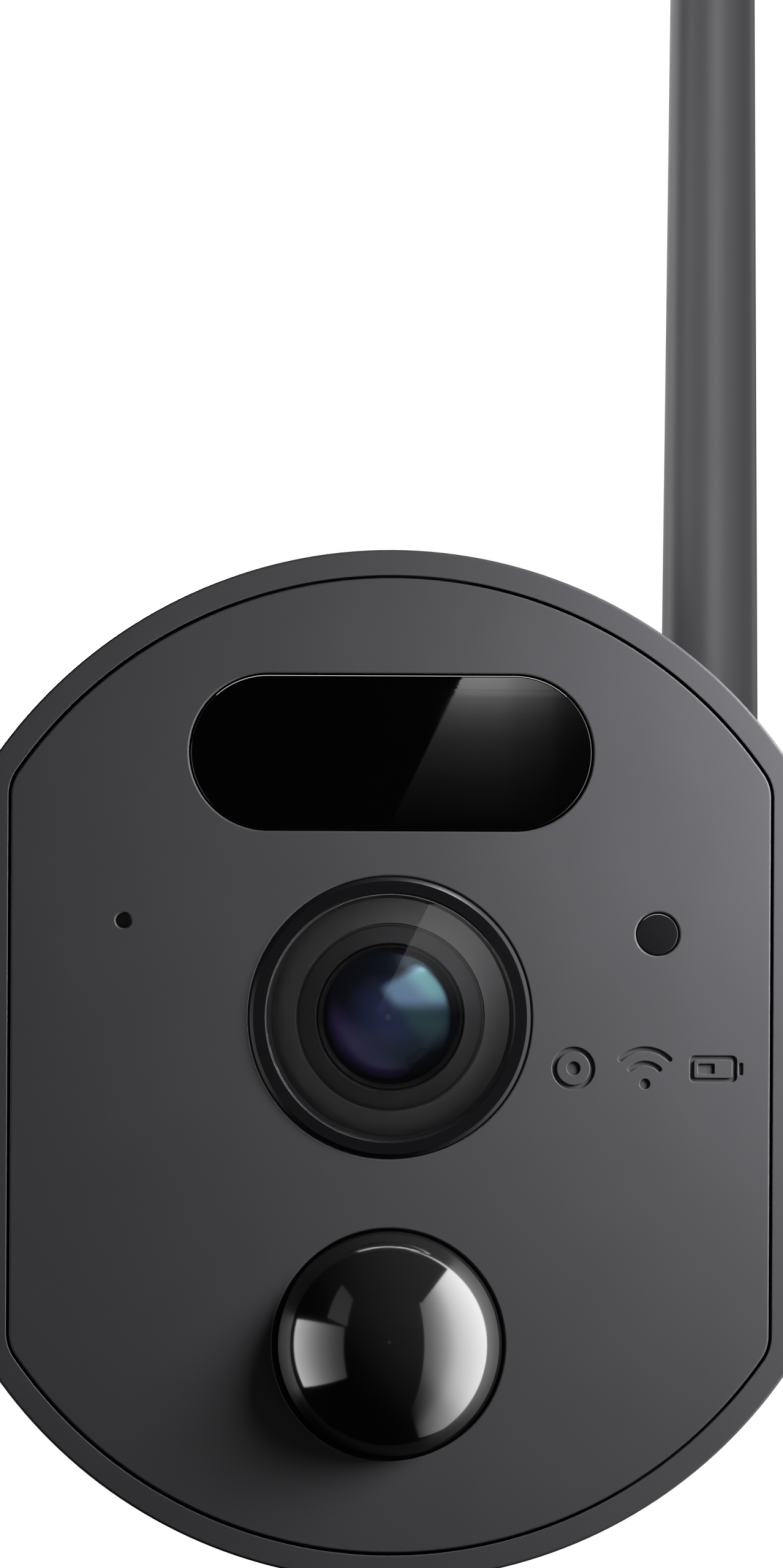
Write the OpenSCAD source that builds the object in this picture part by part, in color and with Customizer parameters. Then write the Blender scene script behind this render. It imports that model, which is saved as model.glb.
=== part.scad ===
// Outdoor battery security camera on a wall bracket, with a swinging antenna.
// The camera looks along -Y and up is +Z. The wall is the plane y = 0, with the
// middle of the wall plate at the origin. All sizes are in millimetres.

/* [Camera body] */
// Width of the body across its flat sides
body_w = 80; // [70:0.5:95]
// Radius of the big top and bottom arcs of the outline
arc_r = 47.2; // [42:0.1:60]
// Height from the middle of the body to the centre of the top arc
arc_rise = 3.36; // [2:0.02:12]
// Radius where the arcs meet the flat sides
corner_r = 6.9; // [6.6:0.1:12]
// Depth of the body from faceplate to back cover
body_depth = 62; // [62:0.5:80]
// Distance from the wall to the back of the body
stand_off = 60; // [60:0.5:80]
// Wall thickness of the housing, which is also the rim round the faceplate
wall = 2.4; // [2:0.1:2.6]
// Gap between the rim and the faceplate
face_gap = 0.55; // [0.3:0.05:0.8]
// Rounding at the back edge of the body
back_round = 4; // [2:0.5:4.5]

/* [Front features] */
// Width of the long light window
light_w = 39.4; // [34:0.2:42]
// Height of the long light window
light_h = 15.2; // [12:0.2:17]
// Height of the light window above the middle of the body
light_z = 30.7; // [29.5:0.1:32]
// Radius of the ring round the lens window
bezel_r = 13.8; // [12.5:0.1:14.2]
// Height of the lens above the middle of the body
lens_z = 4.7; // [3:0.1:6]
// Radius of the motion sensor dome
dome_r = 11.1; // [9:0.1:12.5]
// How far the dome stands out of the faceplate
dome_rise = 6; // [4:0.1:9]
// Height of the dome against the middle of the body
dome_z = -27.4; // [-30:0.1:-25]
// Radius of the small light sensor window
eye_r = 2.05; // [1.5:0.05:2.5]
// Radius of the microphone hole
mic_r = 0.75; // [0.5:0.05:1]

/* [Antenna] */
// Sideways place of the antenna
antenna_x = 32.2; // [31:0.1:32.5]
// Height of the antenna pivot
antenna_z = 12.5; // [10:0.1:13]
// Length of the rod above its pivot
antenna_len = 123.6; // [80:0.2:180]
// Radius of the rod at its foot
rod_foot_r = 5; // [4:0.02:5.5]
// Radius of the rod at its tip
rod_tip_r = 4.06; // [3:0.02:4.5]
// Radius of the hub at the foot of the antenna
hub_r = 7.4; // [7:0.1:7.8]

/* [Bracket] */
// Radius of the wall plate
plate_r = 29; // [26:0.5:40]
// Diameter of the circle through the wall screw holes
screw_circle = 44; // [40:0.5:56]
// Radius of each wall screw hole
screw_hole_r = 2.2; // [1.8:0.1:2.6]
// Radius of the thread on the camera stud
stud_r = 3.1; // [2.9:0.05:3.2]
// Gap between parts that turn or slide on each other
fit = 0.05; // [0.02:0.01:0.1]

/* [Hidden] */
$fn = 64;
back_y = -stand_off;
front_y = back_y - body_depth;
seam_y = back_y - 6;
corner_x = body_w / 2 - corner_r;
corner_rise = sqrt(pow(arc_r - corner_r, 2) - pow(corner_x, 2));
corner_z = arc_rise + corner_rise;
corner_angle = atan2(corner_rise, corner_x);
face_inset = wall + face_gap;
face_back = front_y + 3;
ledge_front = face_back + 0.5;
ledge_back = ledge_front + 2;
post_x = 31;
post_z = 24.5;
pivot_y = -38;
cover_inside = back_y - 2.5;
chassis_front = front_y + 28;
board_front = chassis_front - 3;
eye = [26.2, 13.0];
mic = [-26.2, 14.1];
icons = [25.0, -0.2];
dome_ball_r = (dome_r * dome_r + dome_rise * dome_rise) / (2 * dome_rise);
dome_ball_y = front_y - dome_rise + dome_ball_r;
port_z = -31.6;
port_floor = -33.2;
cell_y = back_y - 21.6;
cell_z = 6;
cell_r = 9.2;
cell_len = 65.2;
power_x = -12.5;
reset_x = -19;
flap_hinge_z = -35.4;
hub_back = back_y + 18.4;
rod_y = back_y + 11;
pivot_flange_r = 5;

charcoal = [0.24, 0.24, 0.26];
black = [0.05, 0.05, 0.06];
board_green = [0.05, 0.3, 0.15];
metal = [0.7, 0.7, 0.72];
brass = [0.8, 0.65, 0.3];

// ---- shapes shared by several parts ----

function arc_points(cx, cz, r, from, to, steps, last) =
  [for (i = [0 : last ? steps : steps - 1])
    let (a = from + (to - from) * i / steps)
    [cx + r * cos(a), cz + r * sin(a)]];

// The body outline seen from the front, moved inwards by an even distance
function outline(inset) = concat(
  arc_points(corner_x, corner_z, corner_r - inset, 0, corner_angle, 5, false),
  arc_points(0, arc_rise, arc_r - inset, corner_angle, 180 - corner_angle, 24, false),
  arc_points(-corner_x, corner_z, corner_r - inset, 180 - corner_angle, 180, 5, true),
  arc_points(-corner_x, -corner_z, corner_r - inset, 180, 180 + corner_angle, 5, false),
  arc_points(0, -arc_rise, arc_r - inset, 180 + corner_angle, 360 - corner_angle, 24, false),
  arc_points(corner_x, -corner_z, corner_r - inset, 360 - corner_angle, 360, 5, true));

// A flat shape drawn in x and z, made solid from y0 to y1
module slab(y0, y1) {
  translate([0, y1, 0])
    rotate([90, 0, 0])
      linear_extrude(y1 - y0)
        children();
}

module body_slab(y0, y1, inset) {
  slab(y0, y1) polygon(outline(inset));
}

module body_ring(y0, y1, outer, inner) {
  difference() {
    body_slab(y0, y1, outer);
    body_slab(y0 - 1, y1 + 1, inner);
  }
}

// A round bar along Y
module bar_y(r, y0, y1, x = 0, z = 0) {
  translate([x, y0, z])
    rotate([-90, 0, 0])
      cylinder(r = r, h = y1 - y0);
}

module cone_y(r0, r1, y0, y1, x = 0, z = 0) {
  translate([x, y0, z])
    rotate([-90, 0, 0])
      cylinder(r1 = r0, r2 = r1, h = y1 - y0);
}

module ring_y(outer, inner, y0, y1, x = 0, z = 0) {
  difference() {
    bar_y(outer, y0, y1, x, z);
    bar_y(inner, y0 - 1, y1 + 1, x, z);
  }
}

// A round bar along X
module bar_x(r, x0, x1, y, z) {
  translate([x0, y, z])
    rotate([0, 90, 0])
      cylinder(r = r, h = x1 - x0);
}

module block(x0, x1, y0, y1, z0, z1) {
  translate([x0, y0, z0])
    cube([x1 - x0, y1 - y0, z1 - z0]);
}

module pill(w, h, y0, y1, z) {
  bar_y(h / 2, y0, y1, -(w - h) / 2, z);
  bar_y(h / 2, y0, y1, (w - h) / 2, z);
  block(-(w - h) / 2, (w - h) / 2, y0, y1, z - h / 2, z + h / 2);
}

module at_corners(x, z) {
  for (sx = [-1, 1])
    for (sz = [-1, 1])
      translate([sx * x, 0, sz * z])
        children();
}

// The closed back of the body, stepped in to follow a rounded edge
module back_plate() {
  steps = 4;
  start = back_y - back_round;
  for (k = [0 : steps - 1])
    body_slab(k == 0 ? seam_y : start + back_round * k / steps,
      start + back_round * (k + 1) / steps,
      back_round * (1 - cos(asin((k + 0.5) / steps))));
}

// ---- shell ----

module front_housing() {
  color(charcoal) difference() {
    union() {
      difference() {
        body_slab(front_y, seam_y, 0);
        body_slab(front_y - 1, ledge_front, wall);
        body_slab(ledge_front - 1, ledge_back + 1, wall + 3.1);
        body_slab(ledge_back, seam_y + 1, wall);
      }
      at_corners(post_x, post_z) bar_y(4, chassis_front + 2, seam_y - 5.2);
      for (sz = [-1, 1])
        for (sx = [-1, 1])
          translate([sx * (body_w / 2 - 3.6), 0, sz * post_z])
            block(-2.6, 2, chassis_front + 2, seam_y - 5.2, -1.5, 1.5);
    }
    at_corners(post_x, post_z) bar_y(1.55, seam_y - 17, seam_y - 5);
    at_corners(post_x, post_z) bar_y(1.3, chassis_front + 1, chassis_front + 9);
  }
}

module icon_cuts() {
  depth = 0.3;
  // a lens: ring and dot
  ring_y(2.1, 1.65, front_y - 1, front_y + depth, icons[0] - 7, icons[1]);
  bar_y(0.65, front_y - 1, front_y + depth, icons[0] - 7, icons[1]);
  // radio waves: a dot and two quarter rings
  bar_y(0.5, front_y - 1, front_y + depth, icons[0], icons[1] - 1.5);
  for (r = [1.8, 3.2])
    intersection() {
      ring_y(r + 0.45, r, front_y - 1, front_y + depth, icons[0], icons[1] - 1.5);
      translate([icons[0], front_y, icons[1] - 1.5])
        rotate([0, 45, 0])
          block(-6, 0, -2, 2, 0, 6);
    }
  // a battery: frame, level and tip
  difference() {
    block(icons[0] + 4.4, icons[0] + 9, front_y - 1, front_y + depth, icons[1] - 1.3, icons[1] + 1.3);
    block(icons[0] + 4.8, icons[0] + 8.6, front_y - 2, front_y + 1, icons[1] - 0.9, icons[1] + 0.9);
  }
  block(icons[0] + 5.2, icons[0] + 6.8, front_y - 1, front_y + depth, icons[1] - 0.5, icons[1] + 0.5);
  block(icons[0] + 9.2, icons[0] + 9.6, front_y - 1, front_y + depth, icons[1] - 0.6, icons[1] + 0.6);
}

module faceplate() {
  color(charcoal) difference() {
    body_slab(front_y, face_back, face_inset);
    pill(light_w + 0.3, light_h + 0.3, front_y - 1, face_back + 1, light_z);
    bar_y(bezel_r + 0.1, front_y - 1, face_back + 1, 0, lens_z);
    bar_y(dome_r + 0.3, front_y - 1, face_back + 1, 0, dome_z);
    bar_y(eye_r + 0.1, front_y - 1, face_back + 1, eye[0], eye[1]);
    bar_y(mic_r, front_y - 1, face_back + 1, mic[0], mic[1]);
    icon_cuts();
  }
}

module faceplate_seal() {
  color(black) body_ring(face_back, ledge_front, wall + 0.8, wall + 3);
}

module speaker_holes(y0, y1) {
  bar_y(0.8, y0, y1, 0, 30);
  for (ring = [1 : 3])
    for (k = [0 : ring * 6 - 1])
      bar_y(0.8, y0, y1, ring * 3 * cos(k * 60 / ring), 30 + ring * 3 * sin(k * 60 / ring));
}

module rear_cover() {
  color(charcoal) difference() {
    union() {
      difference() {
        union() {
          back_plate();
          body_slab(seam_y - 5, seam_y, wall + 0.1);
        }
        body_slab(seam_y - 6, cover_inside, wall + 2.1);
      }
      at_corners(post_x, post_z) bar_y(4, seam_y - 5, cover_inside + 1);
      bar_y(7.5, back_y - 11, cover_inside + 1);
      ring_y(14, 12, cover_inside - 2, cover_inside + 0.5, 0, 30);
      bar_y(hub_r, back_y - 4, back_y + 3.5, antenna_x, antenna_z);
    }
    at_corners(post_x, post_z) bar_y(1.6, seam_y - 6, back_y + 1);
    at_corners(post_x, post_z) bar_y(2.95, back_y - 3.2, back_y + 1);
    bar_y(4.8, back_y - 9.6, back_y + 1);
    bar_y(4.1, back_y - 5, back_y + 5, antenna_x, antenna_z);
    bar_y(pivot_flange_r + 0.2, seam_y, back_y - 4, antenna_x, antenna_z);
    speaker_holes(cover_inside - 1, back_y + 1);
    // the gasket groove round the spigot
    body_ring(seam_y - 4, seam_y - 2.6, wall - 0.4, wall + 1.1);
    // the recess for the port flap, with the two ports below it
    block(-8.2, 21.2, back_y - 1.2, back_y + 1, flap_hinge_z - 0.2, -27.8);
    block(-5, 5, cover_inside - 1, back_y, port_floor - 0.4, -29.6);
    block(8.2, 19.8, cover_inside - 1, back_y, port_floor + 0.1, -31.4);
    bar_y(3 + 2 * fit, cover_inside - 1, back_y + 1, power_x, port_z);
    bar_y(1.2 + 2 * fit, cover_inside - 1, back_y + 1, reset_x, port_z);
  }
}

module rear_gasket() {
  color(black) body_ring(seam_y - 3.9, seam_y - 2.7, wall + 0.02, wall + 1.1);
}

module cover_screws() {
  color(metal) at_corners(post_x, post_z) difference() {
    union() {
      bar_y(2.75, back_y - 3.2, back_y - 0.8);
      bar_y(1.5, seam_y - 16, back_y - 3.2);
    }
    translate([0, back_y - 0.8, 0])
      rotate([90, 0, 0])
        cylinder(r = 1.2, h = 1.4, $fn = 6);
  }
}

// ---- light window ----

module light_window() {
  color(black) {
    pill(light_w, light_h, front_y + 0.1, face_back, light_z);
    pill(light_w + 3.6, light_h + 3.6, face_back, face_back + 1, light_z);
  }
}

light_places = [-14, -5, 5, 14];

module light_baffle() {
  color(black) difference() {
    block(-21, 21, face_back + 1, face_back + 8.4, light_z - 8, light_z + 8);
    for (x = light_places)
      cone_y(4.1, 2.6, face_back + 0.99, face_back + 8.5, x, light_z);
  }
}

module led_board() {
  color(board_green)
    block(-21.5, 21.5, face_back + 8.4, face_back + 10, light_z - 9, light_z + 9);
}

module led(x) {
  y = face_back + 8.4;
  block(x - 1.75, x + 1.75, y - 0.9, y, light_z - 1.75, light_z + 1.75);
  bar_y(1.3, y - 1.6, y - 0.9, x, light_z);
}

module white_leds() {
  color([0.95, 0.9, 0.6]) {
    led(light_places[1]);
    led(light_places[2]);
  }
}

module infrared_leds() {
  color([0.3, 0.1, 0.2]) {
    led(light_places[0]);
    led(light_places[3]);
  }
}

// ---- lens ----

module lens_bezel() {
  color(black) difference() {
    union() {
      bar_y(bezel_r, front_y - 0.3, face_back + 0.5, 0, lens_z);
      bar_y(bezel_r + 1.4, face_back, face_back + 1.5, 0, lens_z);
    }
    bar_y(bezel_r - 1.35, front_y - 1, front_y + 1.8, 0, lens_z);
    bar_y(bezel_r - 2.2, front_y, face_back + 2, 0, lens_z);
  }
}

module lens_window() {
  color([0.1, 0.1, 0.12]) bar_y(bezel_r - 1.4, front_y + 0.3, front_y + 1.8, 0, lens_z);
}

module lens_hood() {
  color(black) difference() {
    bar_y(11.5, front_y + 2, front_y + 12, 0, lens_z);
    cone_y(9.2, 7.5, front_y + 1.99, front_y + 12.01, 0, lens_z);
  }
}

module lens_barrel() {
  color(black) difference() {
    union() {
      bar_y(7.1, front_y + 3.4, front_y + 10, 0, lens_z);
      bar_y(6, front_y + 10, front_y + 16.5, 0, lens_z);
    }
    bar_y(6.3, front_y + 3, front_y + 8, 0, lens_z);
    bar_y(3.5, front_y + 7, front_y + 17, 0, lens_z);
  }
}

module front_lens() {
  ball = 9;
  color([0.3, 0.5, 0.7]) intersection() {
    translate([0, front_y + 2.4 + ball, lens_z]) sphere(r = ball);
    bar_y(6.25, front_y + 2, front_y + 7.9, 0, lens_z);
  }
}

module lens_holder() {
  color(black) difference() {
    block(-14, 14, front_y + 12, front_y + 22.6, lens_z - 10, lens_z + 10);
    bar_y(6 + fit, front_y + 11, front_y + 18, 0, lens_z);
    block(-12.2, 12.2, front_y + 17.5, front_y + 23, lens_z - 6, lens_z + 6);
  }
}

module night_filter() {
  y = front_y + 18.8;
  color([0.5, 0.2, 0.3]) difference() {
    block(-11.6, 4.4, y, y + 0.6, lens_z - 4, lens_z + 4);
    bar_y(2.6, y - 1, y + 1, -6, lens_z);
  }
}

module filter_motor() {
  color(metal) {
    block(-21, -14, front_y + 16.6, front_y + 22.6, lens_z - 4, lens_z + 4);
    bar_y(1.5, front_y + 15.6, front_y + 16.6, -17.5, lens_z);
  }
}

module image_sensor() {
  y = front_y + 22.6;
  color([0.2, 0.2, 0.4]) block(-4.5, 4.5, y - 1, y, lens_z - 4.5, lens_z + 4.5);
}

module sensor_board() {
  y = front_y + 22.6;
  color(board_green) block(-22, 15, y, y + 1.2, lens_z - 14, lens_z + 14);
}

// ---- motion sensor ----

// A dome with straight sides below it, open at the back
module dome_solid(ball_r, side_r) {
  intersection() {
    union() {
      translate([0, dome_ball_y, dome_z]) sphere(r = ball_r);
      bar_y(dome_r + 2, front_y, face_back + 3, 0, dome_z);
    }
    bar_y(side_r, front_y - dome_rise - 1, face_back + 2, 0, dome_z);
  }
}

module motion_lens() {
  flange_back = face_back + 1.4;
  color(black) difference() {
    union() {
      intersection() {
        dome_solid(dome_ball_r, dome_r - fit);
        bar_y(dome_r + 1, front_y - dome_rise - 1, flange_back, 0, dome_z);
      }
      bar_y(dome_r + 1.9, face_back, flange_back, 0, dome_z);
    }
    dome_solid(dome_ball_r - 1.1, dome_r - 2);
  }
}

module motion_retainer() {
  y = face_back + 1.4;
  color(black) {
    ring_y(dome_r + 1.9, dome_r - 1.5, y, y + 1.5, 0, dome_z);
    for (a = [30, 150, 270])
      bar_y(1.2, y, y + 6.1, (dome_r + 0.2) * cos(a), dome_z + (dome_r + 0.2) * sin(a));
  }
}

module motion_sensor() {
  y = face_back + 7.5;
  color(metal) difference() {
    bar_y(4.6, y - 4.5, y, 0, dome_z);
    block(-1.5, 1.5, y - 5, y - 4, dome_z - 2, dome_z + 2);
  }
}

module motion_board() {
  y = face_back + 7.5;
  color(board_green) bar_y(12.6, y, y + 1.2, 0, dome_z);
}

// ---- small sensors ----

module light_sensor_window() {
  color(black) {
    bar_y(eye_r, front_y + 0.2, face_back, eye[0], eye[1]);
    bar_y(eye_r + 1.2, face_back, face_back + 0.8, eye[0], eye[1]);
  }
}

module light_sensor() {
  y = ledge_back;
  color(metal) block(eye[0] - 1.2, eye[0] + 1.2, y - 1, y, eye[1] - 1.2, eye[1] + 1.2);
}

module microphone() {
  y = ledge_back;
  color(metal) difference() {
    bar_y(2, y - 1.4, y, mic[0], mic[1]);
    bar_y(0.4, y - 2, y - 1, mic[0], mic[1]);
  }
}

module microphone_seal() {
  color(black) ring_y(3, 1, face_back, ledge_back - 1.4, mic[0], mic[1]);
}

module front_board() {
  y = ledge_back;
  color(board_green) difference() {
    block(-36.5, 36.5, y, y + 1.2, 8, 20);
    bar_y(16, y - 1, y + 2, 0, lens_z);
  }
}

// ---- inner boards, chassis and battery ----

module main_board() {
  color(board_green) difference() {
    body_slab(board_front, board_front + 1.6, wall + 3.8);
    at_corners(post_x, post_z) bar_y(3.2, board_front - 1, board_front + 3);
    at_corners(16, 38) bar_y(1.6, board_front - 1, board_front + 3);
  }
}

module board_components() {
  y = board_front;
  color([0.12, 0.12, 0.12]) {
    block(-7, 7, y - 1.2, y, lens_z - 2.5, lens_z + 2.5);
    block(-28, -16, y - 1.2, y, 20, 32);
    block(12, 24, y - 1.4, y, 24, 34);
    block(-30, -18, y - 3.5, y, -24, -10);
    bar_y(4, y - 6, y, 24, -20);
    bar_y(4, y - 6, y, 24, -10);
    block(28, 32, y - 1.6, y, 10.5, 14.5);
  }
}

module chassis() {
  y = chassis_front;
  color(metal) {
    difference() {
      body_slab(y, y + 2, wall + 3.4);
      at_corners(post_x, post_z) bar_y(1.4, y - 1, y + 3);
      block(-12, 12, y - 1, y + 3, -44, -34);
    }
    at_corners(16, 38) ring_y(3, 1.3, y - 1.4, y);
  }
}

module inner_screws() {
  y = chassis_front;
  color(metal) {
    at_corners(post_x, post_z) {
      bar_y(2.4, y - 1.6, y);
      bar_y(1.25, y, y + 8);
    }
    at_corners(16, 38) {
      bar_y(2.4, board_front - 1.6, board_front);
      bar_y(1.25, board_front, y - 0.1);
    }
  }
}

module battery_cells() {
  color([0.2, 0.4, 0.7])
    for (sx = [-1, 1])
      translate([sx * (cell_r + 0.4), cell_y, cell_z - cell_len / 2]) {
        cylinder(r = cell_r, h = cell_len - 1);
        translate([0, 0, cell_len - 1]) cylinder(r = 3, h = 1);
      }
}

module battery_cradle() {
  y = chassis_front + 2;
  low = cell_z - cell_len / 2;
  high = cell_z + cell_len / 2;
  color(black) {
    block(-20, 20, y, cell_y - cell_r - 0.1, low - 2.2, high + 2.2);
    block(-20, 20, y, cell_y + cell_r - 1, low - 2.2, low - 0.1);
    block(-20, 20, y, cell_y + cell_r - 1, high + 0.1, high + 2.2);
  }
}

module speaker() {
  y = cover_inside - 3;
  color(metal) {
    bar_y(14, y - 2, y, 0, 30);
    bar_y(9, y - 5.6, y - 2, 0, 30);
  }
}

module speaker_seal() {
  y = cover_inside - 2;
  color(black) ring_y(14, 12, y - 1, y, 0, 30);
}

// ---- ports, card and buttons ----

module port_board() {
  color(board_green)
    block(-22, 22, back_y - 29, cover_inside - 1.5, port_floor - 1.6, port_floor);
}

module usb_socket() {
  color(metal) {
    difference() {
      block(-4.47, 4.47, back_y - 10.5, cover_inside - 0.1, port_floor, port_floor + 3.26);
      block(-4.17, 4.17, back_y - 9.5, cover_inside, port_floor + 0.3, port_floor + 2.96);
    }
    block(-3.3, 3.3, back_y - 9.6, cover_inside - 0.8, port_floor + 1.28, port_floor + 1.98);
  }
}

module port_flap() {
  color(black) {
    block(-8, 21, back_y - 1.2, back_y, flap_hinge_z, -28);
    block(-4.3, 4.3, back_y - 2.2, back_y - 1.2, port_floor + 0.1, -30.1);
  }
}

module card_slot() {
  color(metal) difference() {
    block(7.2, 20.8, back_y - 18.6, cover_inside - 0.2, port_floor, port_floor + 1.9);
    block(8.3, 19.7, back_y - 18.1, cover_inside, port_floor + 0.3, port_floor + 1.6);
  }
}

module memory_card() {
  color(black)
    block(8.5, 19.5, back_y - 17.4, back_y - 2.4, port_floor + 0.45, port_floor + 1.45);
}

module push_button(r, proud, x) {
  bar_y(r, cover_inside - 0.1, back_y + proud, x, port_z);
  bar_y(r + 0.9, cover_inside - 0.9, cover_inside - 0.1, x, port_z);
}

module power_button() {
  color(black) push_button(3, 0.4, power_x);
}

module reset_button() {
  color(black) push_button(1.2, -0.8, reset_x);
}

module button_switches() {
  color(metal)
    for (x = [power_x, reset_x]) {
      block(x - 2.6, x + 2.6, back_y - 8, back_y - 4.6, port_floor, port_floor + 3.2);
      bar_y(0.9, back_y - 4.6, back_y - 4, x, port_z);
    }
}

module threaded_insert() {
  color(brass) ring_y(4.75, stud_r + fit, back_y - 9.6, back_y);
}

// ---- antenna ----

module antenna_rod() {
  top = antenna_z + antenna_len - rod_tip_r;
  color(charcoal) difference() {
    union() {
      bar_y(hub_r, back_y + 3.6, hub_back, antenna_x, antenna_z);
      translate([antenna_x, rod_y, antenna_z])
        cylinder(r1 = rod_foot_r, r2 = rod_tip_r, h = top - antenna_z);
      translate([antenna_x, rod_y, top]) sphere(r = rod_tip_r);
    }
    bar_y(4 + fit, back_y + 3, back_y + 15, antenna_x, antenna_z);
    bar_y(6.5, back_y + 14, hub_back + 1, antenna_x, antenna_z);
    translate([antenna_x, rod_y, antenna_z + 5]) cylinder(r = 2.5, h = antenna_len - 14);
  }
}

module antenna_cap() {
  color(charcoal) bar_y(6.4, hub_back - 1.3, hub_back - 0.1, antenna_x, antenna_z);
}

module antenna_element() {
  color(brass) translate([antenna_x, rod_y, antenna_z + 7]) {
    cylinder(r = 0.8, h = 104);
    cylinder(r = 2.4, h = 36);
  }
}

module antenna_pivot() {
  color(metal) difference() {
    union() {
      bar_y(pivot_flange_r, back_y - 5.6, back_y - 4, antenna_x, antenna_z);
      bar_y(4, back_y - 4, back_y + 15.4, antenna_x, antenna_z);
      bar_y(6.2, back_y + 14.2, back_y + 15.2, antenna_x, antenna_z);
    }
    bar_y(1.6, back_y - 6, back_y + 16, antenna_x, antenna_z);
  }
}

module antenna_cable() {
  r = 0.65;
  z = antenna_z;
  side_x = 35.9;
  turn_y = back_y - 12.5;
  color(black) {
    translate([30, board_front - 2.3, z]) sphere(r = r);
    bar_x(r, 30, side_x, board_front - 2.3, z);
    translate([side_x, board_front - 2.3, z]) sphere(r = r);
    bar_y(r, board_front - 2.3, turn_y, side_x, z);
    translate([side_x, turn_y, z]) sphere(r = r);
    bar_x(r, antenna_x, side_x, turn_y, z);
    translate([antenna_x, turn_y, z]) sphere(r = r);
    bar_y(r, turn_y, back_y + 10, antenna_x, z);
  }
}

// ---- bracket ----

module wall_plate() {
  color(charcoal) difference() {
    union() {
      bar_y(plate_r, -6, 0);
      bar_y(15, -16, -5);
    }
    bar_y(7 + fit, -17, 1);
    bar_y(10.5, -3, 1);
    for (a = [90, 210, 330])
      translate([screw_circle / 2 * cos(a), 0, screw_circle / 2 * sin(a)]) {
        bar_y(screw_hole_r, -7, 1);
        bar_y(4.1, -7, -3.6);
      }
  }
}

module swivel_arm() {
  color(charcoal) difference() {
    union() {
      bar_y(7, -17, -3.2);
      bar_y(13, -20, -16.1);
      bar_y(10, -26, -19);
      block(-10.2, 10.2, -28, -24, -8.5, 8.5);
      for (sx = [-1, 1])
        translate([sx * 8.125, 0, 0]) {
          block(-2.075, 2.075, pivot_y, -27, -8.5, 8.5);
          bar_x(8.5, -2.075, 2.075, pivot_y, 0);
        }
    }
    bar_x(2.5 + fit, -12, 12, pivot_y, 0);
    bar_y(2.2, -14.2, -2);
  }
}

module arm_screw() {
  color(metal) {
    difference() {
      bar_y(10, -2.9, -1.9);
      bar_y(2.4, -4, 0);
    }
    bar_y(2.15, -14, -1.9);
    bar_y(4, -1.9, -0.3);
  }
}

module tilt_head() {
  color(charcoal) difference() {
    union() {
      bar_y(12, pivot_y - 12.5, pivot_y - 9.5);
      block(-6, 6, pivot_y - 10, pivot_y, -6, 6);
      bar_x(8.5, -6, 6, pivot_y, 0);
    }
    bar_x(2.5 + fit, -7, 7, pivot_y, 0);
    bar_y(stud_r, pivot_y - 13, pivot_y - 10.9);
  }
}

module tilt_bolt() {
  color(metal) {
    bar_x(2.5, -20, 10.2, pivot_y, 0);
    translate([10.2, pivot_y, 0])
      rotate([0, 90, 0])
        cylinder(r = 4.6, h = 3.4, $fn = 6);
  }
}

module tilt_knob() {
  color(black) difference() {
    union() {
      bar_x(6.8, -22.2, -10.3, pivot_y, 0);
      for (k = [0 : 7])
        bar_x(1.4, -22.2, -12.3, pivot_y + 6.6 * cos(k * 45), 6.6 * sin(k * 45));
    }
    bar_x(2.5 + fit, -20.2, -10, pivot_y, 0);
  }
}

module camera_stud() {
  color(metal) bar_y(stud_r, back_y - 8, pivot_y - 10.9);
}

module lock_nut() {
  color(charcoal) difference() {
    bar_y(11, back_y + 0.1, back_y + 5);
    bar_y(stud_r + fit, back_y - 1, back_y + 6);
    for (k = [0 : 11])
      bar_y(1.2, back_y - 1, back_y + 6, 11.4 * cos(k * 30), 11.4 * sin(k * 30));
  }
}

front_housing();
faceplate();
faceplate_seal();
rear_cover();
rear_gasket();
cover_screws();
light_window();
light_baffle();
led_board();
white_leds();
infrared_leds();
lens_bezel();
lens_window();
lens_hood();
lens_barrel();
front_lens();
lens_holder();
night_filter();
filter_motor();
image_sensor();
sensor_board();
motion_lens();
motion_retainer();
motion_sensor();
motion_board();
light_sensor_window();
light_sensor();
microphone();
microphone_seal();
front_board();
main_board();
board_components();
chassis();
inner_screws();
battery_cells();
battery_cradle();
speaker();
speaker_seal();
port_board();
usb_socket();
port_flap();
card_slot();
memory_card();
power_button();
reset_button();
button_switches();
threaded_insert();
antenna_rod();
antenna_cap();
antenna_element();
antenna_pivot();
antenna_cable();
wall_plate();
swivel_arm();
arm_screw();
tilt_head();
tilt_bolt();
tilt_knob();
camera_stud();
lock_nut();
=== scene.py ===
"""Looks for the battery security camera: detailed pieces round the CAD frame, studio light and camera."""
import math

import bmesh
import bpy
from mathutils import Matrix, Vector, geometry


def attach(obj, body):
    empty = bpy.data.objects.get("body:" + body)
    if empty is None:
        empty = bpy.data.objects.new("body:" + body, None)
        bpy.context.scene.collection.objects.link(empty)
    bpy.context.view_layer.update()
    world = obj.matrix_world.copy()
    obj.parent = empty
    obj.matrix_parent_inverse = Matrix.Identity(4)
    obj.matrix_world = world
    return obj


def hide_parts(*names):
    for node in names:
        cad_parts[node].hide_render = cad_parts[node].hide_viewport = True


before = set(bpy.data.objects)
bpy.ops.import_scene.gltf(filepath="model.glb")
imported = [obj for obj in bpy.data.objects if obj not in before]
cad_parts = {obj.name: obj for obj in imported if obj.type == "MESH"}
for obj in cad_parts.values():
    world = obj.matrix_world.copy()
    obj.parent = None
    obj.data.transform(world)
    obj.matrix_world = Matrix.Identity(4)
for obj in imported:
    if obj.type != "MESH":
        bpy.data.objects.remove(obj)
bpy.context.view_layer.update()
MM = 0.001
PIECES = {}

# ---- sizes from the CAD model, in millimetres ----

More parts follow.
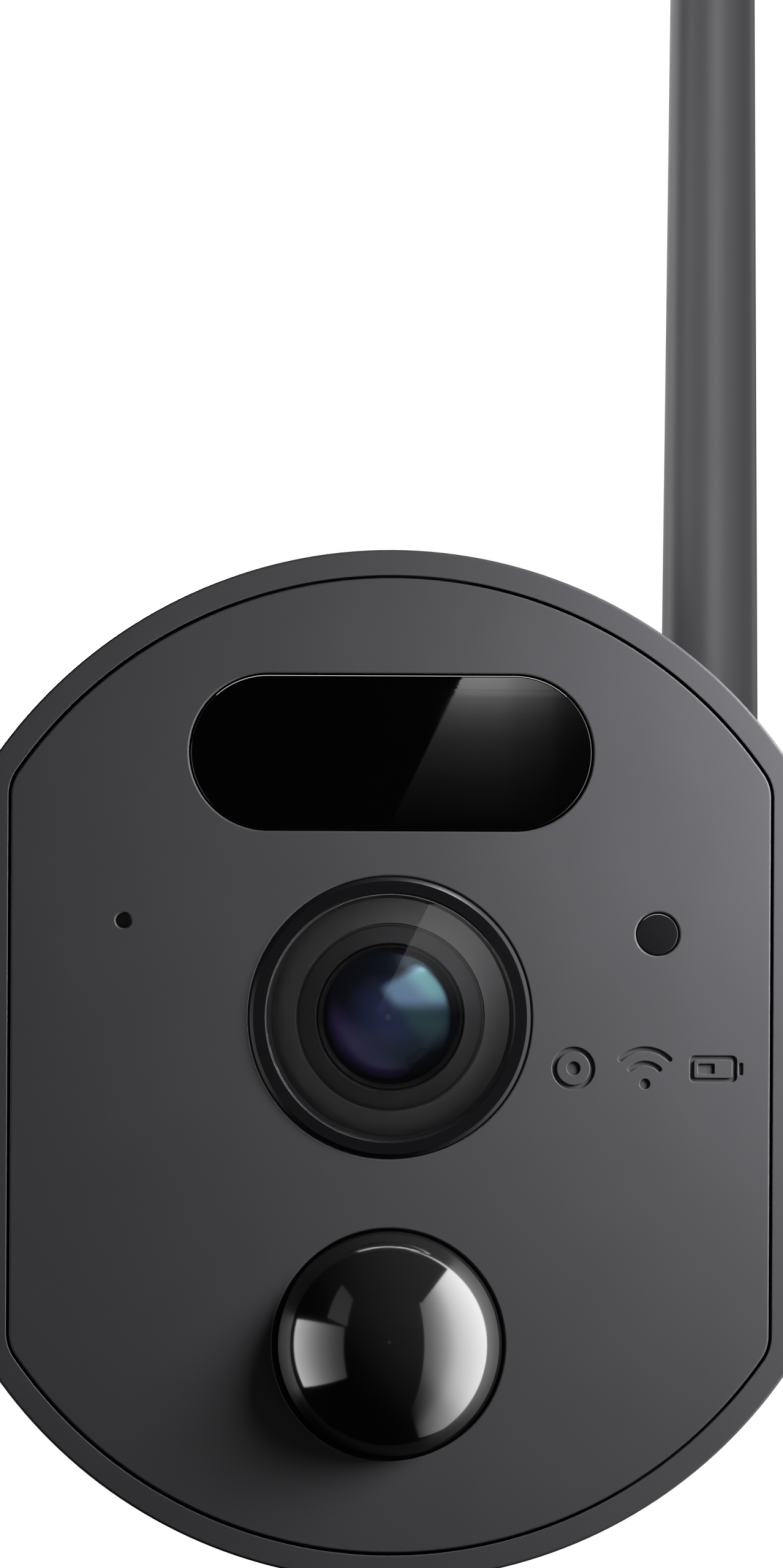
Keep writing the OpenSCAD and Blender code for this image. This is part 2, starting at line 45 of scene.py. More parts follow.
BODY_W = 80.0
ARC_R = 47.2
ARC_RISE = 3.36
CORNER_R = 6.9
WALL = 2.4
RIM_INSET = WALL + 0.08
FACE_INSET = RIM_INSET + 0.28
BACK_ROUND = 4.0
BACK = -60.0
FRONT = BACK - 62.0
SEAM = BACK - 6.0
FACE_BACK = FRONT + 3.0
LIGHT_W, LIGHT_H, LIGHT_Z = 39.4, 15.2, 30.7
BEZEL_R, LENS_Z = 13.8, 4.7
DOME_R, DOME_RISE, DOME_Z = 11.1, 6.0, -27.4
EYE, EYE_R = (26.2, 13.0), 2.05
MIC, MIC_R = (-26.2, 14.1), 0.75
ICONS = (25.0, -0.2)
POSTS = [(x, z) for x in (-31.0, 31.0) for z in (-24.5, 24.5)]
ANTENNA = (32.2, 12.5)
HUB_R = 7.4
ROD_Y = BACK + 11.0
ROD_FOOT_R, ROD_TIP_R, ANTENNA_LEN = 5.0, 4.06, 123.6
HUB_BACK = BACK + 18.4
PIVOT_Y = -38.0
PORT_Z = -31.6
POWER_X, RESET_X = -12.5, -19.0
FLAP_X, FLAP_Z = 6.5, -31.7
FLAP_DEEP = 1.2
SHELL_THICK = 2.5

BEZEL_BORE = BEZEL_R - 1.66
HOOD_STEP_R = 9.2
LENS_BALL, LENS_EDGE = 12.0, 6.55

PLATE_R, PLATE_FRONT = 29.0, -6.0
SCREW_RING_R, SCREW_SEAT = 22.0, -3.6
EAR_R, EAR_IN, EAR_OUT = 8.5, 6.05, 10.2
KNOB_R, NUT_R = 8.0, 11.0
BOLT_HEAD = (10.2, 13.6)
STUD_R, THREAD_PITCH = 3.1, 1.27

CORNER_X = BODY_W / 2 - CORNER_R
CORNER_UP = math.sqrt((ARC_R - CORNER_R) ** 2 - CORNER_X**2)
CORNER_Z = ARC_RISE + CORNER_UP
CORNER_ANGLE = math.degrees(math.atan2(CORNER_UP, CORNER_X))

# ---- studio, in metres and watts unless a name says otherwise ----

LENS_MM = 500.0
SENSOR_MM = 36
VIEW_HEIGHT_MM, VIEW_MIDDLE_MM = 153.75, 27.6
WORLD_FRONT, WORLD_BACK = 0.012, 0.25
KEY_POWER, LENS_POWER, HOOD_POWER = 0.5, 1.5, 0.0105
FLOOR_Z = -0.25
GLARE_MM = 2100.0
HOOD_PARTS = ["lens_hood_detailed", "lens_barrel_detailed"]
ANTENNA_PARTS = ["antenna_arm", "antenna_cap_disc"]


# ---- flat loops, as lists of (x, z) ----


def arc(cx, cz, r, start, end, steps, last=False):
    """Points on an arc, in degrees, with or without its end point."""
    count = steps + 1 if last else steps
    angles = [math.radians(start + (end - start) * i / steps) for i in range(count)]
    return [(cx + r * math.cos(a), cz + r * math.sin(a)) for a in angles]


def outline(inset, fine=72, corner=14):
    """The body outline seen from the front, moved inwards by inset."""
    big, small = ARC_R - inset, CORNER_R - inset
    a, x, z = CORNER_ANGLE, CORNER_X, CORNER_Z
    return (
        arc(x, z, small, 0, a, corner)
        + arc(0, ARC_RISE, big, a, 180 - a, fine)
        + arc(-x, z, small, 180 - a, 180, corner, True)
        + arc(-x, -z, small, 180, 180 + a, corner)
        + arc(0, -ARC_RISE, big, 180 + a, 360 - a, fine)
        + arc(x, -z, small, 360 - a, 360, corner, True)
    )


def circle(cx, cz, r, steps=64):
    return arc(cx, cz, r, 0, 360, steps)


def rounded_box(cx, cz, w, h, r, steps=6):
    """A rectangle with round corners. With r at half of h it is a pill."""
    x, z = w / 2 - r, h / 2 - r
    return (
        arc(cx + x, cz + z, r, 0, 90, steps, True)
        + arc(cx - x, cz + z, r, 90, 180, steps, True)
        + arc(cx - x, cz - z, r, 180, 270, steps, True)
        + arc(cx + x, cz - z, r, 270, 360, steps, True)
    )


def circle_at(cx, cz, r, steps=64):
    """A circle that can grow, for Build.pocket."""
    return lambda g: circle(cx, cz, r + g, steps)


def box_at(cx, cz, w, h, r):
    """A rectangle with round corners that can grow, for Build.pocket."""
    return lambda g: rounded_box(cx, cz, w + 2 * g, h + 2 * g, r + g)


def pill(w, h, cz, grow=0.0):
    return rounded_box(0, cz, w + 2 * grow, h + 2 * grow, h / 2 + grow, 32)


def curved_bar(cx, cz, inner, outer, start, end, steps=16):
    """A bar bent along an arc, as one closed loop."""
    mid, half = (inner + outer) / 2, (outer - inner) / 2
    a, b = math.radians(start), math.radians(end)
    caps = []
    for angle, turn in ((b, end), (a, start + 180)):
        x, z = cx + mid * math.cos(angle), cz + mid * math.sin(angle)
        caps.append(arc(x, z, half, turn, turn + 180, 6)[1:])
    return (
        arc(cx, cz, outer, start, end, steps, True)
        + caps[0]
        + arc(cx, cz, inner, end, start, steps, True)
        + caps[1]
    )


def soften(points, radii, steps=4, closed=False):
    """Rounds the corners of a profile. radii is one number, or one for each point."""
    count = len(points)
    if not isinstance(radii, (list, tuple)):
        radii = [radii] * count
    out = []
    for i, p in enumerate(points):
        if radii[i] <= 0 or (not closed and i in (0, count - 1)):
            out.append(tuple(p))
            continue
        here = Vector(p)
        to_last = Vector(points[i - 1]) - here
        to_next = Vector(points[(i + 1) % count]) - here
        angle = to_last.angle(to_next)
        if angle > math.radians(175):
            out.append(tuple(p))
            continue
        reach = radii[i] / math.tan(angle / 2)
        reach = min(reach, to_last.length * 0.45, to_next.length * 0.45)
        a = here + to_last.normalized() * reach
        b = here + to_next.normalized() * reach
        for k in range(steps + 1):
            t = k / steps
            out.append(tuple(a * (1 - t) ** 2 + here * 2 * t * (1 - t) + b * t * t))
    return out


# ---- mesh building ----


class Build:
    """Collects vertices in millimetres and faces, and makes one object from them."""

    def __init__(self, name):
        self.name = name
        self.verts = []
        self.faces = []
        self.flat = []

    def add(self, points):
        """Adds points and returns their numbers."""
        start = len(self.verts)
        self.verts += points
        return list(range(start, len(self.verts)))

    def ring(self, loop, y):
        """Adds a closed loop of (x, z) points at depth y."""
        return self.add([(x, y, z) for x, z in loop])

    def ring_x(self, loop, x):
        """Adds a closed loop of (y, z) points at place x."""
        return self.add([(x, y, z) for y, z in loop])

    def bar_x(self, rings):
        """Joins rings along X and closes both ends."""
        self.bridge_all(rings)
        self.faces.append(tuple(rings[0]))
        self.faces.append(tuple(reversed(rings[-1])))

    def bridge(self, a, b):
        for i in range(len(a)):
            j = (i + 1) % len(a)
            self.faces.append((a[i], a[j], b[j], b[i]))

    def bridge_all(self, rings, closed=False):
        for a, b in zip(rings, rings[1:]):
            self.bridge(a, b)
        if closed:
            self.bridge(rings[-1], rings[0])

    def fill(self, outer, holes=()):
        """A flat face inside the outer ring, without the holes."""
        rings = [outer, *holes]
        flat = [[Vector((self.verts[i][0], self.verts[i][2], 0)) for i in r] for r in rings]
        index = [i for r in rings for i in r]
        for tri in geometry.tessellate_polygon(flat):
            self.flat.append(len(self.faces))
            self.faces.append(tuple(index[k] for k in tri))

    def pocket(self, loop_at, edge, top, floor, out=1):
        """Walls from the face at top down to floor. loop_at(g) gives the loop moved outwards by g.

        Returns the ring in the face and the ring at the floor. out is -1 for an island."""
        down = 1 if floor > top else -1
        rings = []
        for k in range(4):
            a = math.radians(30 * k)
            grow = edge * (1 - math.sin(a))
            rings.append(self.ring(loop_at(out * grow), top + down * edge * (1 - math.cos(a))))
        rings.append(self.ring(loop_at(0), floor))
        self.bridge_all(rings)
        return rings[0], rings[-1]

    def lathe(self, profile, cx=0.0, cz=0.0, steps=96, closed=True, axis="y"):
        """Turns a profile of (radius, place along the axis) about that axis.

        Rings that lie level are kept as flat faces."""
        rings = []
        for r, s in profile:
            loop = [(0, 0)] if r < 1e-6 else circle(0, 0, r, steps)
            rings.append(self.add([place(u, v, s, cx, cz, axis) for u, v in loop]))
        pairs = list(zip(rings, rings[1:]))
        level = [abs(p[1] - q[1]) < 1e-6 for p, q in zip(profile, profile[1:])]
        if closed and len(rings[0]) > 1 and len(rings[-1]) > 1:
            pairs.append((rings[-1], rings[0]))
            level.append(abs(profile[-1][1] - profile[0][1]) < 1e-6)
        for (a, b), flat in zip(pairs, level):
            first = len(self.faces)
            if len(a) == 1 and len(b) == 1:
                continue
            if len(a) == 1 or len(b) == 1:
                tip, rim = (a[0], b) if len(a) == 1 else (b[0], a)
                for i in range(len(rim)):
                    self.faces.append((tip, rim[i], rim[(i + 1) % len(rim)]))
            else:
                self.bridge(a, b)
            if flat:
                self.flat += range(first, len(self.faces))

    def done(self, material, body, replaced):
        """Makes the object, rides it on its body and gives it its material."""
        mesh = bpy.data.meshes.new(self.name)
        mesh.from_pydata([tuple(c * MM for c in v) for v in self.verts], [], self.faces)
        mesh.polygons.foreach_set("use_smooth", [True] * len(mesh.polygons))
        for i in self.flat:
            mesh.polygons[i].use_smooth = False
        return finish_mesh(mesh, self.name, material, body, replaced)


def place(u, v, s, cx, cz, axis):
    """A point of a turned piece: u and v across the axis, s along it."""
    if axis == "y":
        return (cx + u, s, cz + v)
    if axis == "x":
        return (s, cx + u, cz + v)
    return (cx + u, cz + v, s)


def new_object(name, data):
    obj = bpy.data.objects.new(name, data)
    bpy.context.scene.collection.objects.link(obj)
    return obj


def even_normals(obj):
    even = obj.modifiers.new("even_normals", "WEIGHTED_NORMAL")
    even.weight = 100
    return even


def finish_mesh(mesh, name, material, body, replaced):
    bm = bmesh.new()
    bm.from_mesh(mesh)
    bmesh.ops.remove_doubles(bm, verts=bm.verts, dist=1e-7)
    bmesh.ops.recalc_face_normals(bm, faces=bm.faces)
    # the flat faces stay flat right up to their edges, and everything else is smooth
    for edge in bm.edges:
        if len({face.smooth for face in edge.link_faces}) == 2:
            edge.smooth = False
    for face in bm.faces:
        face.smooth = True
    bm.to_mesh(mesh)
    bm.free()
    obj = new_object(name, mesh)
    even_normals(obj).keep_sharp = True
    mesh.materials.append(material)
    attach(obj, body)
    if replaced:
        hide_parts(*replaced)
    PIECES[name] = obj
    return obj


def keep_node(name, material):
    """Keeps a CAD node, with softened edges and a finished material."""
    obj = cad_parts[name]
    obj.data.materials.clear()
    obj.data.materials.append(material)
    obj.data.polygons.foreach_set("use_smooth", [True] * len(obj.data.polygons))
    bevel = obj.modifiers.new("edges", "BEVEL")
    bevel.width = 0.08 * MM
    bevel.segments = 2
    bevel.limit_method = "ANGLE"
    bevel.angle_limit = math.radians(35)
    bevel.use_clamp_overlap = True
    even_normals(obj)


# ---- materials ----


def new_material(name):
    mat = bpy.data.materials.new(name)
    mat.use_nodes = True
    nodes = mat.node_tree.nodes
    nodes.clear()
    out = nodes.new("ShaderNodeOutputMaterial")
    shader = nodes.new("ShaderNodeBsdfPrincipled")
    mat.node_tree.links.new(shader.outputs["BSDF"], out.inputs["Surface"])
    return mat, nodes, mat.node_tree.links, shader


def put(node, **values):
    """Sets inputs of a node, such as To_Min for "To Min"."""
    for key, value in values.items():
        node.inputs[key.replace("_", " ")].default_value = value
    return node


def object_noise(nodes, links, scale, detail=3.0, rough=0.6):
    coord = nodes.new("ShaderNodeTexCoord")
    noise = put(nodes.new("ShaderNodeTexNoise"), Scale=scale, Detail=detail, Roughness=rough)
    links.new(coord.outputs["Object"], noise.inputs["Vector"])
    return noise


def tone_between(nodes, links, noise, low, high):
    """A colour that wanders between low and high with a noise."""
    ramp = nodes.new("ShaderNodeValToRGB")
    for stop, position, colour in zip(ramp.color_ramp.elements, (0.3, 0.7), (low, high)):
        stop.position = position
        stop.color = (*colour, 1)
    links.new(noise.outputs["Fac"], ramp.inputs["Fac"])
    return ramp.outputs["Color"]


def uneven_gloss(nodes, links, noise, shader, low, high):
    """A roughness that wanders between low and high with a noise."""
    spread = put(nodes.new("ShaderNodeMapRange"), To_Min=low, To_Max=high)
    links.new(noise.outputs["Fac"], spread.inputs["Value"])
    links.new(spread.outputs["Result"], shader.inputs["Roughness"])


def plastic(*settings, **more):
    """Moulded plastic, see plastic_parts for the settings."""
    return plastic_parts(*settings, **more)[0]


def plastic_parts(name, low, high, rough, grain=2600.0, bump=0.12, bump_mm=0.02, spread=0.05, shine=0.5):
    """Moulded plastic: a little tone change, a fine grain in the bump and uneven gloss."""
    mat, nodes, links, shader = new_material(name)
    tone = object_noise(nodes, links, 45.0)
    links.new(tone_between(nodes, links, tone, low, high), shader.inputs["Base Color"])
    gloss = object_noise(nodes, links, 120.0, 2.0)
    uneven_gloss(nodes, links, gloss, shader, rough - spread, rough + spread)
    fine = object_noise(nodes, links, grain, 2.0, 0.5)
    lift = put(nodes.new("ShaderNodeBump"), Strength=bump, Distance=bump_mm * MM)
    links.new(fine.outputs["Fac"], lift.inputs["Height"])
    links.new(lift.outputs["Normal"], shader.inputs["Normal"])
    put(shader, Specular_IOR_Level=shine)
    return mat, nodes, links, shader


def metal(name, low, high, rough=0.3, stretch=(1, 1, 1)):
    """Machined or plated metal with fine lines and slight stains."""
    mat, nodes, links, shader = new_material(name)
    coord = nodes.new("ShaderNodeTexCoord")
    scale = put(nodes.new("ShaderNodeMapping"), Scale=stretch)
    links.new(coord.outputs["Object"], scale.inputs["Vector"])
    lines = put(nodes.new("ShaderNodeTexNoise"), Scale=900.0, Detail=3.0)
    links.new(scale.outputs["Vector"], lines.inputs["Vector"])
    links.new(tone_between(nodes, links, lines, low, high), shader.inputs["Base Color"])
    uneven_gloss(nodes, links, lines, shader, rough - 0.08, rough + 0.12)
    put(shader, Metallic=1.0)
    return mat


def clear_glass(name, ior):
    """Clear glass with a very faint haze in its tint."""
    mat, nodes, links, shader = new_material(name)
    haze = object_noise(nodes, links, 90.0, 4.0)
    links.new(tone_between(nodes, links, haze, (0.985,) * 3, (1.0,) * 3), shader.inputs["Base Color"])
    put(shader, Roughness=0.0, Transmission_Weight=1.0, IOR=ior)
    return mat


def fade_along(nodes, links, place, direction, start, end):
    """A mask that rises from 0 to 1 between two distances, in mm, along a direction in (x, z)."""
    across = nodes.new("ShaderNodeVectorMath")
    across.operation = "DOT_PRODUCT"
    across.inputs[1].default_value = (direction[0], 0, direction[1])
    links.new(place, across.inputs[0])
    return smooth_step(nodes, links, across.outputs["Value"], start * MM, end * MM)


def fade_round(nodes, links, place, start, end):
    """A mask that rises from 0 to 1 between two radii, in mm."""
    flat = nodes.new("ShaderNodeVectorMath")
    flat.operation = "MULTIPLY"
    flat.inputs[1].default_value = (1, 0, 1)
    links.new(place, flat.inputs[0])
    length = nodes.new("ShaderNodeVectorMath")
    length.operation = "LENGTH"
    links.new(flat.outputs["Vector"], length.inputs[0])
    return smooth_step(nodes, links, length.outputs["Value"], start * MM, end * MM)


def smooth_step(nodes, links, value, start, end):
    """A mask that rises from 0 at start to 1 at end, whichever of them is larger."""
    step = nodes.new("ShaderNodeMapRange")
    step.interpolation_type = "SMOOTHSTEP"
    first, last = (1.0, 0.0) if end < start else (0.0, 1.0)
    put(step, From_Min=min(start, end), From_Max=max(start, end), To_Min=first, To_Max=last)
    links.new(value, step.inputs["Value"])
    return step.outputs["Result"]


def times(nodes, links, masks):
    """Multiplies masks."""
    product = masks[0]
    for mask in masks[1:]:
        both = nodes.new("ShaderNodeMath")
        both.operation = "MULTIPLY"
        links.new(product, both.inputs[0])
        links.new(mask, both.inputs[1])
        product = both.outputs["Value"]
    return product


def from_lens_axis(nodes, links, aside_mm=0.0):
    """Object coordinates with their origin on the lens axis, moved aside along X."""
    coord = nodes.new("ShaderNodeTexCoord")
    centred = put(nodes.new("ShaderNodeMapping"), Location=(aside_mm * MM, 0.0, -LENS_Z * MM))
    links.new(coord.outputs["Object"], centred.inputs["Vector"])
    return centred.outputs["Vector"]


def paint_over(nodes, links, under, colour, mask):
    """Mixes a colour over what is under it, where the mask is 1."""
    mix = nodes.new("ShaderNodeMix")
    mix.data_type = "RGBA"
    links.new(mask, mix.inputs["Factor"])
    links.new(under, mix.inputs["A"])
    put(mix, B=(*colour, 1))
    return mix.outputs["Result"]


def hood_plastic(name):
    """Satin plastic, with a darker colour on the inner step of the lens hood."""
    low, high, inner_step_dark = (0.0165, 0.0165, 0.0172), (0.0187, 0.0187, 0.0194), (0.0075, 0.0075, 0.008)
    mat, nodes, links, shader = plastic_parts(name, low, high, 0.5, 1800, 0.08, shine=0.08)
    base = shader.inputs["Base Color"]
    inner = fade_round(nodes, links, from_lens_axis(nodes, links), HOOD_STEP_R + 0.02, HOOD_STEP_R - 0.02)
    links.new(paint_over(nodes, links, base.links[0].from_socket, inner_step_dark, inner), base)
    return mat


def inner_glass(name):
    """The deep glass, dark blue in its own tint, with painted reflections: a blue and teal patch at the
    upper right, a violet crescent at the lower left and a small spot in the middle.
    """
    mat, nodes, links, shader = new_material(name)
    place = from_lens_axis(nodes, links, 0.2)

    def along(direction, start, end):
        return fade_along(nodes, links, place, direction, start, end)

    def round_mask(start, end):
        return fade_round(nodes, links, place, start, end)

    dust = object_noise(nodes, links, 500.0, 3.0)
    colour = tone_between(nodes, links, dust, (0.0012, 0.0014, 0.003), (0.0016, 0.0018, 0.0038))
    # the blue depth, then the painted reflections: the violet crescent, the dim patch, the bright patch, its
    # teal tip and the middle spot
    tint_and_painted_reflections = (
        ((0.007, 0.009, 0.026), [round_mask(5.2, 0.5)]),
        ((0.015, 0.010, 0.038), [along((-0.66, -0.75), 1.6, 4.6), round_mask(6.2, 5.0)]),
        ((0.009, 0.019, 0.024), [along((0.525, -0.85), -2.9, -2.2), along((0.83, 0.555), 0.6, 1.9),
                                 along((0.25, 0.97), -2.6, 0.6), round_mask(6.3, 5.6)]),
        ((0.046, 0.076, 0.118), [along((0.525, -0.85), -3.3, -2.2), along((0.83, 0.555), 0.5, 1.9),
                                 along((0.0, 1.0), 0.4, 2.0), round_mask(6.2, 5.5)]),
        ((0.068, 0.145, 0.160), [along((0.525, -0.85), -2.7, -2.2), along((0.75, 0.66), 3.2, 5.0),
                                 along((0.0, 1.0), 1.0, 2.6), round_mask(6.2, 5.6)]),
        ((0.024, 0.024, 0.036), [round_mask(0.34, 0.2)]),
    )
    for shade, masks in tint_and_painted_reflections:
        colour = paint_over(nodes, links, colour, shade, times(nodes, links, masks))
    links.new(colour, shader.inputs["Base Color"])
    put(shader, Roughness=0.2, Specular_IOR_Level=0.15, Specular_Tint=(0.5, 0.8, 1.0, 1))
    return mat


GREY = ((0.0565, 0.056, 0.0605), (0.0625, 0.062, 0.067))
SHELL = plastic("shell_plastic", *GREY, 0.4, 2600, 0.10, shine=0.25)
SHELL_BACK = plastic("shell_plastic_coarse", (0.050, 0.050, 0.053), (0.062, 0.062, 0.065), 0.5,
                     1500, 0.35, 0.03, shine=0.35)
ROD = plastic("antenna_plastic", *GREY, 0.42, 2600, 0.03, 0.01, shine=0.25)
BEZEL = plastic("bezel_satin", (0.0015, 0.0015, 0.0018), (0.0025, 0.0025, 0.003), 0.34,
                900, 0.05, 0.01, 0.03, 0.16)
BLACK_GLOSS = plastic("black_gloss", (0.006, 0.006, 0.007), (0.009, 0.009, 0.010), 0.12,
                      500, 0.02, 0.005, 0.03)
DARK_WINDOW = plastic("dark_window", (0.0005, 0.0005, 0.0006), (0.0007, 0.0007, 0.0008), 0.006,
                      60, 0.0, 0.001, 0.006)
DOME = plastic("dome_gloss", (0.008, 0.008, 0.0085), (0.010, 0.010, 0.0105), 0.08,
               60, 0.0, 0.001, 0.03, 1.0)
HOOD = hood_plastic("hood_satin")
BARREL = plastic("barrel_black", (0.002, 0.002, 0.0022), (0.003, 0.003, 0.0033), 0.5, 1800, 0.06, shine=0.05)
BLACK = plastic("black_plastic", (0.018, 0.018, 0.019), (0.026, 0.026, 0.027), 0.45, 1600, 0.25, 0.03)
RUBBER = plastic("rubber", (0.016, 0.016, 0.016), (0.024, 0.024, 0.024), 0.75, 1200, 0.4, 0.03)
CHIP = plastic("chip_plastic", (0.015, 0.015, 0.016), (0.03, 0.03, 0.03), 0.5, 1500, 0.2)
BOARD = plastic("circuit_board", (0.008, 0.075, 0.035), (0.015, 0.11, 0.05), 0.35, 400, 0.3, 0.03)
CELL = plastic("cell_wrap", (0.02, 0.07, 0.22), (0.03, 0.09, 0.27), 0.25, 300, 0.1)
STEEL = metal("steel", (0.42, 0.42, 0.44), (0.62, 0.62, 0.64), 0.3, (1, 0.1, 1))
DARK_STEEL = metal("dark_steel", (0.10, 0.10, 0.105), (0.17, 0.17, 0.175), 0.38)
BRASS = metal("brass", (0.62, 0.42, 0.16), (0.80, 0.60, 0.28), 0.28, (1, 0.1, 1))
GLASS = clear_glass("window_glass", 1.9)
INNER_GLASS = inner_glass("inner_lens_glass")


# ---- camera body ----


def ring_walls(build, profile, closed):
    """Sweeps a profile of (inset, y) round the body outline."""
    rings = [build.ring(outline(inset), y) for inset, y in profile]
    build.bridge_all(rings, closed)
    return rings


def make_housing():
    b = Build("front_shell")
    ledge = FACE_BACK + 0.5
    profile = [(5.5, ledge), (RIM_INSET, ledge), (RIM_INSET, FRONT), (0, FRONT), (0, SEAM),
               (WALL, SEAM), (WALL, ledge + 2), (5.5, ledge + 2)]
    radii = [0, 0, 0.12, 0.3, 0.25, 0, 0, 0]
    ring_walls(b, soften(profile, radii, 4, True), True)
    b.done(SHELL, "camera", ("front_housing",))


def icon_holes(b, depth):
    """Sinks the three small symbols into the faceplate and returns their rings in its face."""
    floor = FRONT + depth
    soft = 0.08
    x, z = ICONS
    holes = []

    def sink(loop_at):
        top, low = b.pocket(loop_at, soft, FRONT, floor)
        holes.append(top)
        return low

    # a lens: ring and dot
    low = sink(circle_at(x - 7, z, 2.1))
    top, low_in = b.pocket(circle_at(x - 7, z, 1.65), soft, FRONT, floor, -1)
    b.fill(low, [low_in])
    dot, dot_low = b.pocket(circle_at(x - 7, z, 0.65, 32), soft, FRONT, floor)
    b.fill(top, [dot])
    b.fill(dot_low)
    # radio waves: a dot and two bent bars
    b.fill(sink(circle_at(x, z - 1.5, 0.5, 32)))
    for r in (1.8, 3.2):
        b.fill(sink(lambda g, r=r: curved_bar(x, z - 1.5, r - g, r + 0.45 + g, 45, 135)))
    # a battery: frame, level and tip
    low = sink(box_at(x + 6.7, z, 4.6, 2.6, 0.5))
    top, low_in = b.pocket(box_at(x + 6.7, z, 3.8, 1.8, 0.25), soft, FRONT, floor, -1)
    b.fill(low, [low_in])
    level, level_low = b.pocket(box_at(x + 6.0, z, 1.6, 1.0, 0.15), soft, FRONT, floor)
    b.fill(top, [level])
    b.fill(level_low)
    b.fill(sink(box_at(x + 9.4, z, 0.4, 1.2, 0.15)))
    return holes


def make_faceplate():
    b = Build("faceplate_detailed")
    profile = soften([(FACE_INSET, FACE_BACK), (FACE_INSET, FRONT), (FACE_INSET + 2, FRONT)],
                     [0, 0.17, 0], 4)[:-1]
    walls = ring_walls(b, profile, False)
    loops = (
        lambda g: pill(LIGHT_W, LIGHT_H, LIGHT_Z, 0.14 + g),
        circle_at(0, LENS_Z, BEZEL_R + 0.1, 128),
        circle_at(0, DOME_Z, DOME_R + 0.3, 128),
        circle_at(*EYE, EYE_R + 0.1),
        circle_at(*MIC, MIC_R, 48),
    )
    tops, lows = [], []
    for loop_at in loops:
        top, low = b.pocket(loop_at, 0.18, FRONT, FACE_BACK)
        tops.append(top)
        lows.append(low)
    b.fill(walls[-1], tops + icon_holes(b, 0.3))
    b.fill(walls[0], lows)
    b.done(SHELL, "camera", ("faceplate",))


def make_light_window():
    b = Build("light_window_gloss")
    front = FRONT + 0.06
    profile = soften([(-1.8, FACE_BACK + 1), (-1.8, FACE_BACK), (0, FACE_BACK), (0, front), (2, front)],
                     [0, 0, 0, 0.22, 0], 5)[:-1]
    rings = [b.ring(pill(LIGHT_W, LIGHT_H, LIGHT_Z, -inset), y) for inset, y in profile]
    b.bridge_all(rings)
    b.fill(rings[-1])
    b.fill(rings[0])
    b.done(DARK_WINDOW, "camera", ("light_window",))


def make_lens_ring():
    b = Build("lens_ring")
    top, inner, outer = FRONT - 0.3, BEZEL_R - 2.1, BEZEL_R + 1.4
    profile = [(inner, FACE_BACK + 1.5), (inner, FRONT + 1.2), (BEZEL_BORE, FRONT + 1.2),
               (BEZEL_BORE, FRONT - 0.14), (BEZEL_R - 1.52, top), (BEZEL_R - 0.38, top),
               (BEZEL_R, FRONT - 0.02), (BEZEL_R, FACE_BACK), (outer, FACE_BACK), (outer, FACE_BACK + 1.5)]
    radii = [0, 0, 0, 0.05, 0.06, 0.08, 0.1, 0, 0, 0]
    b.lathe(soften(profile, radii, 3, True), 0, LENS_Z, 160)
    b.done(BEZEL, "camera", ("lens_bezel",))


def make_cover_glass():
    b = Build("lens_cover_glass")
    r, y = BEZEL_BORE - 0.03, FRONT + 0.16
    b.lathe(soften([(0, y), (r, y), (r, y + 0.9), (0, y + 0.9)], [0, 0.08, 0.08, 0], 3), 0, LENS_Z, 160)
    window = b.done(GLASS, "camera", ("lens_window",))
    window.visible_shadow = False


def make_lens_hood():
    """A shallow cone, a dark groove and the inner step."""
    b = Build("lens_hood_detailed")
    y, step = FRONT + 1.3, HOOD_STEP_R
    profile = [(12.2, y + 1.2), (step + 0.08, y + 0.3), (step, y + 1.2), (step - 0.2, y + 1.2),
               (step - 0.24, y + 0.75), (7.35, y + 0.1), (7.25, y + 0.4), (7.25, y + 11),
               (11.5, y + 11), (11.5, y + 1.8), (12.2, y + 1.8)]
    radii = [0, 0.04, 0.0, 0, 0.02, 0.04, 0, 0, 0, 0, 0]
    b.lathe(soften(profile, radii, 3, True), 0, LENS_Z, 160)
    b.done(HOOD, "camera", ("lens_hood",))


def make_lens_barrel():
    b = Build("lens_barrel_detailed")
    y = FRONT + 2.6
    profile = [(7.1, y + 5.4), (7.1, y), (6.9, y), (6.6, y + 0.6), (6.6, y + 6), (3.5, y + 6),
               (3.5, y + 11.9), (6.0, y + 11.9), (6.0, y + 5.4)]
    b.lathe(soften(profile, [0, 0.1, 0.1, 0.1, 0, 0, 0, 0.1, 0], 3, True), 0, LENS_Z, 128)
    b.done(BARREL, "camera", ("lens_barrel",))


def make_front_lens():
    b = Build("front_lens_glass")
    front, steps = FRONT + 2.2, 16
    dome = []
    for k in range(steps + 1):
        r = LENS_EDGE * k / steps
        dome.append((r, front + LENS_BALL - math.sqrt(LENS_BALL**2 - r**2)))
    b.lathe(dome + [(LENS_EDGE, front + 3.0), (0, front + 3.0)], 0, LENS_Z, 128)
    b.done(INNER_GLASS, "camera", ("front_lens",))


def ball_profile(ball, centre, reach, steps):
    """The front of a ball, from its tip out to the radius reach."""
    limit = math.degrees(math.asin(reach / ball))
    angles = [math.radians(limit * k / steps) for k in range(steps + 1)]
    return [(ball * math.sin(a), centre - ball * math.cos(a)) for a in angles]


def make_motion_dome():
    b = Build("motion_dome")
    ball = (DOME_R**2 + DOME_RISE**2) / (2 * DOME_RISE)
    centre = FRONT - DOME_RISE + ball
    profile = ball_profile(ball, centre, DOME_R, 24)
    side, flange, end = DOME_R - 0.05, DOME_R + 1.9, FACE_BACK + 1.4
    foot = [profile.pop(), (side, FRONT + 0.3), (side, FACE_BACK), (flange, FACE_BACK),
            (flange, end), (DOME_R - 2, end)]
    profile += soften(foot, [0, 0.2, 0, 0, 0, 0], 3)
    profile += reversed(ball_profile(ball - 1.1, centre, DOME_R - 2, 16))
    b.lathe(profile, 0, DOME_Z, 160, False)
    b.done(DOME, "camera", ("motion_lens",))


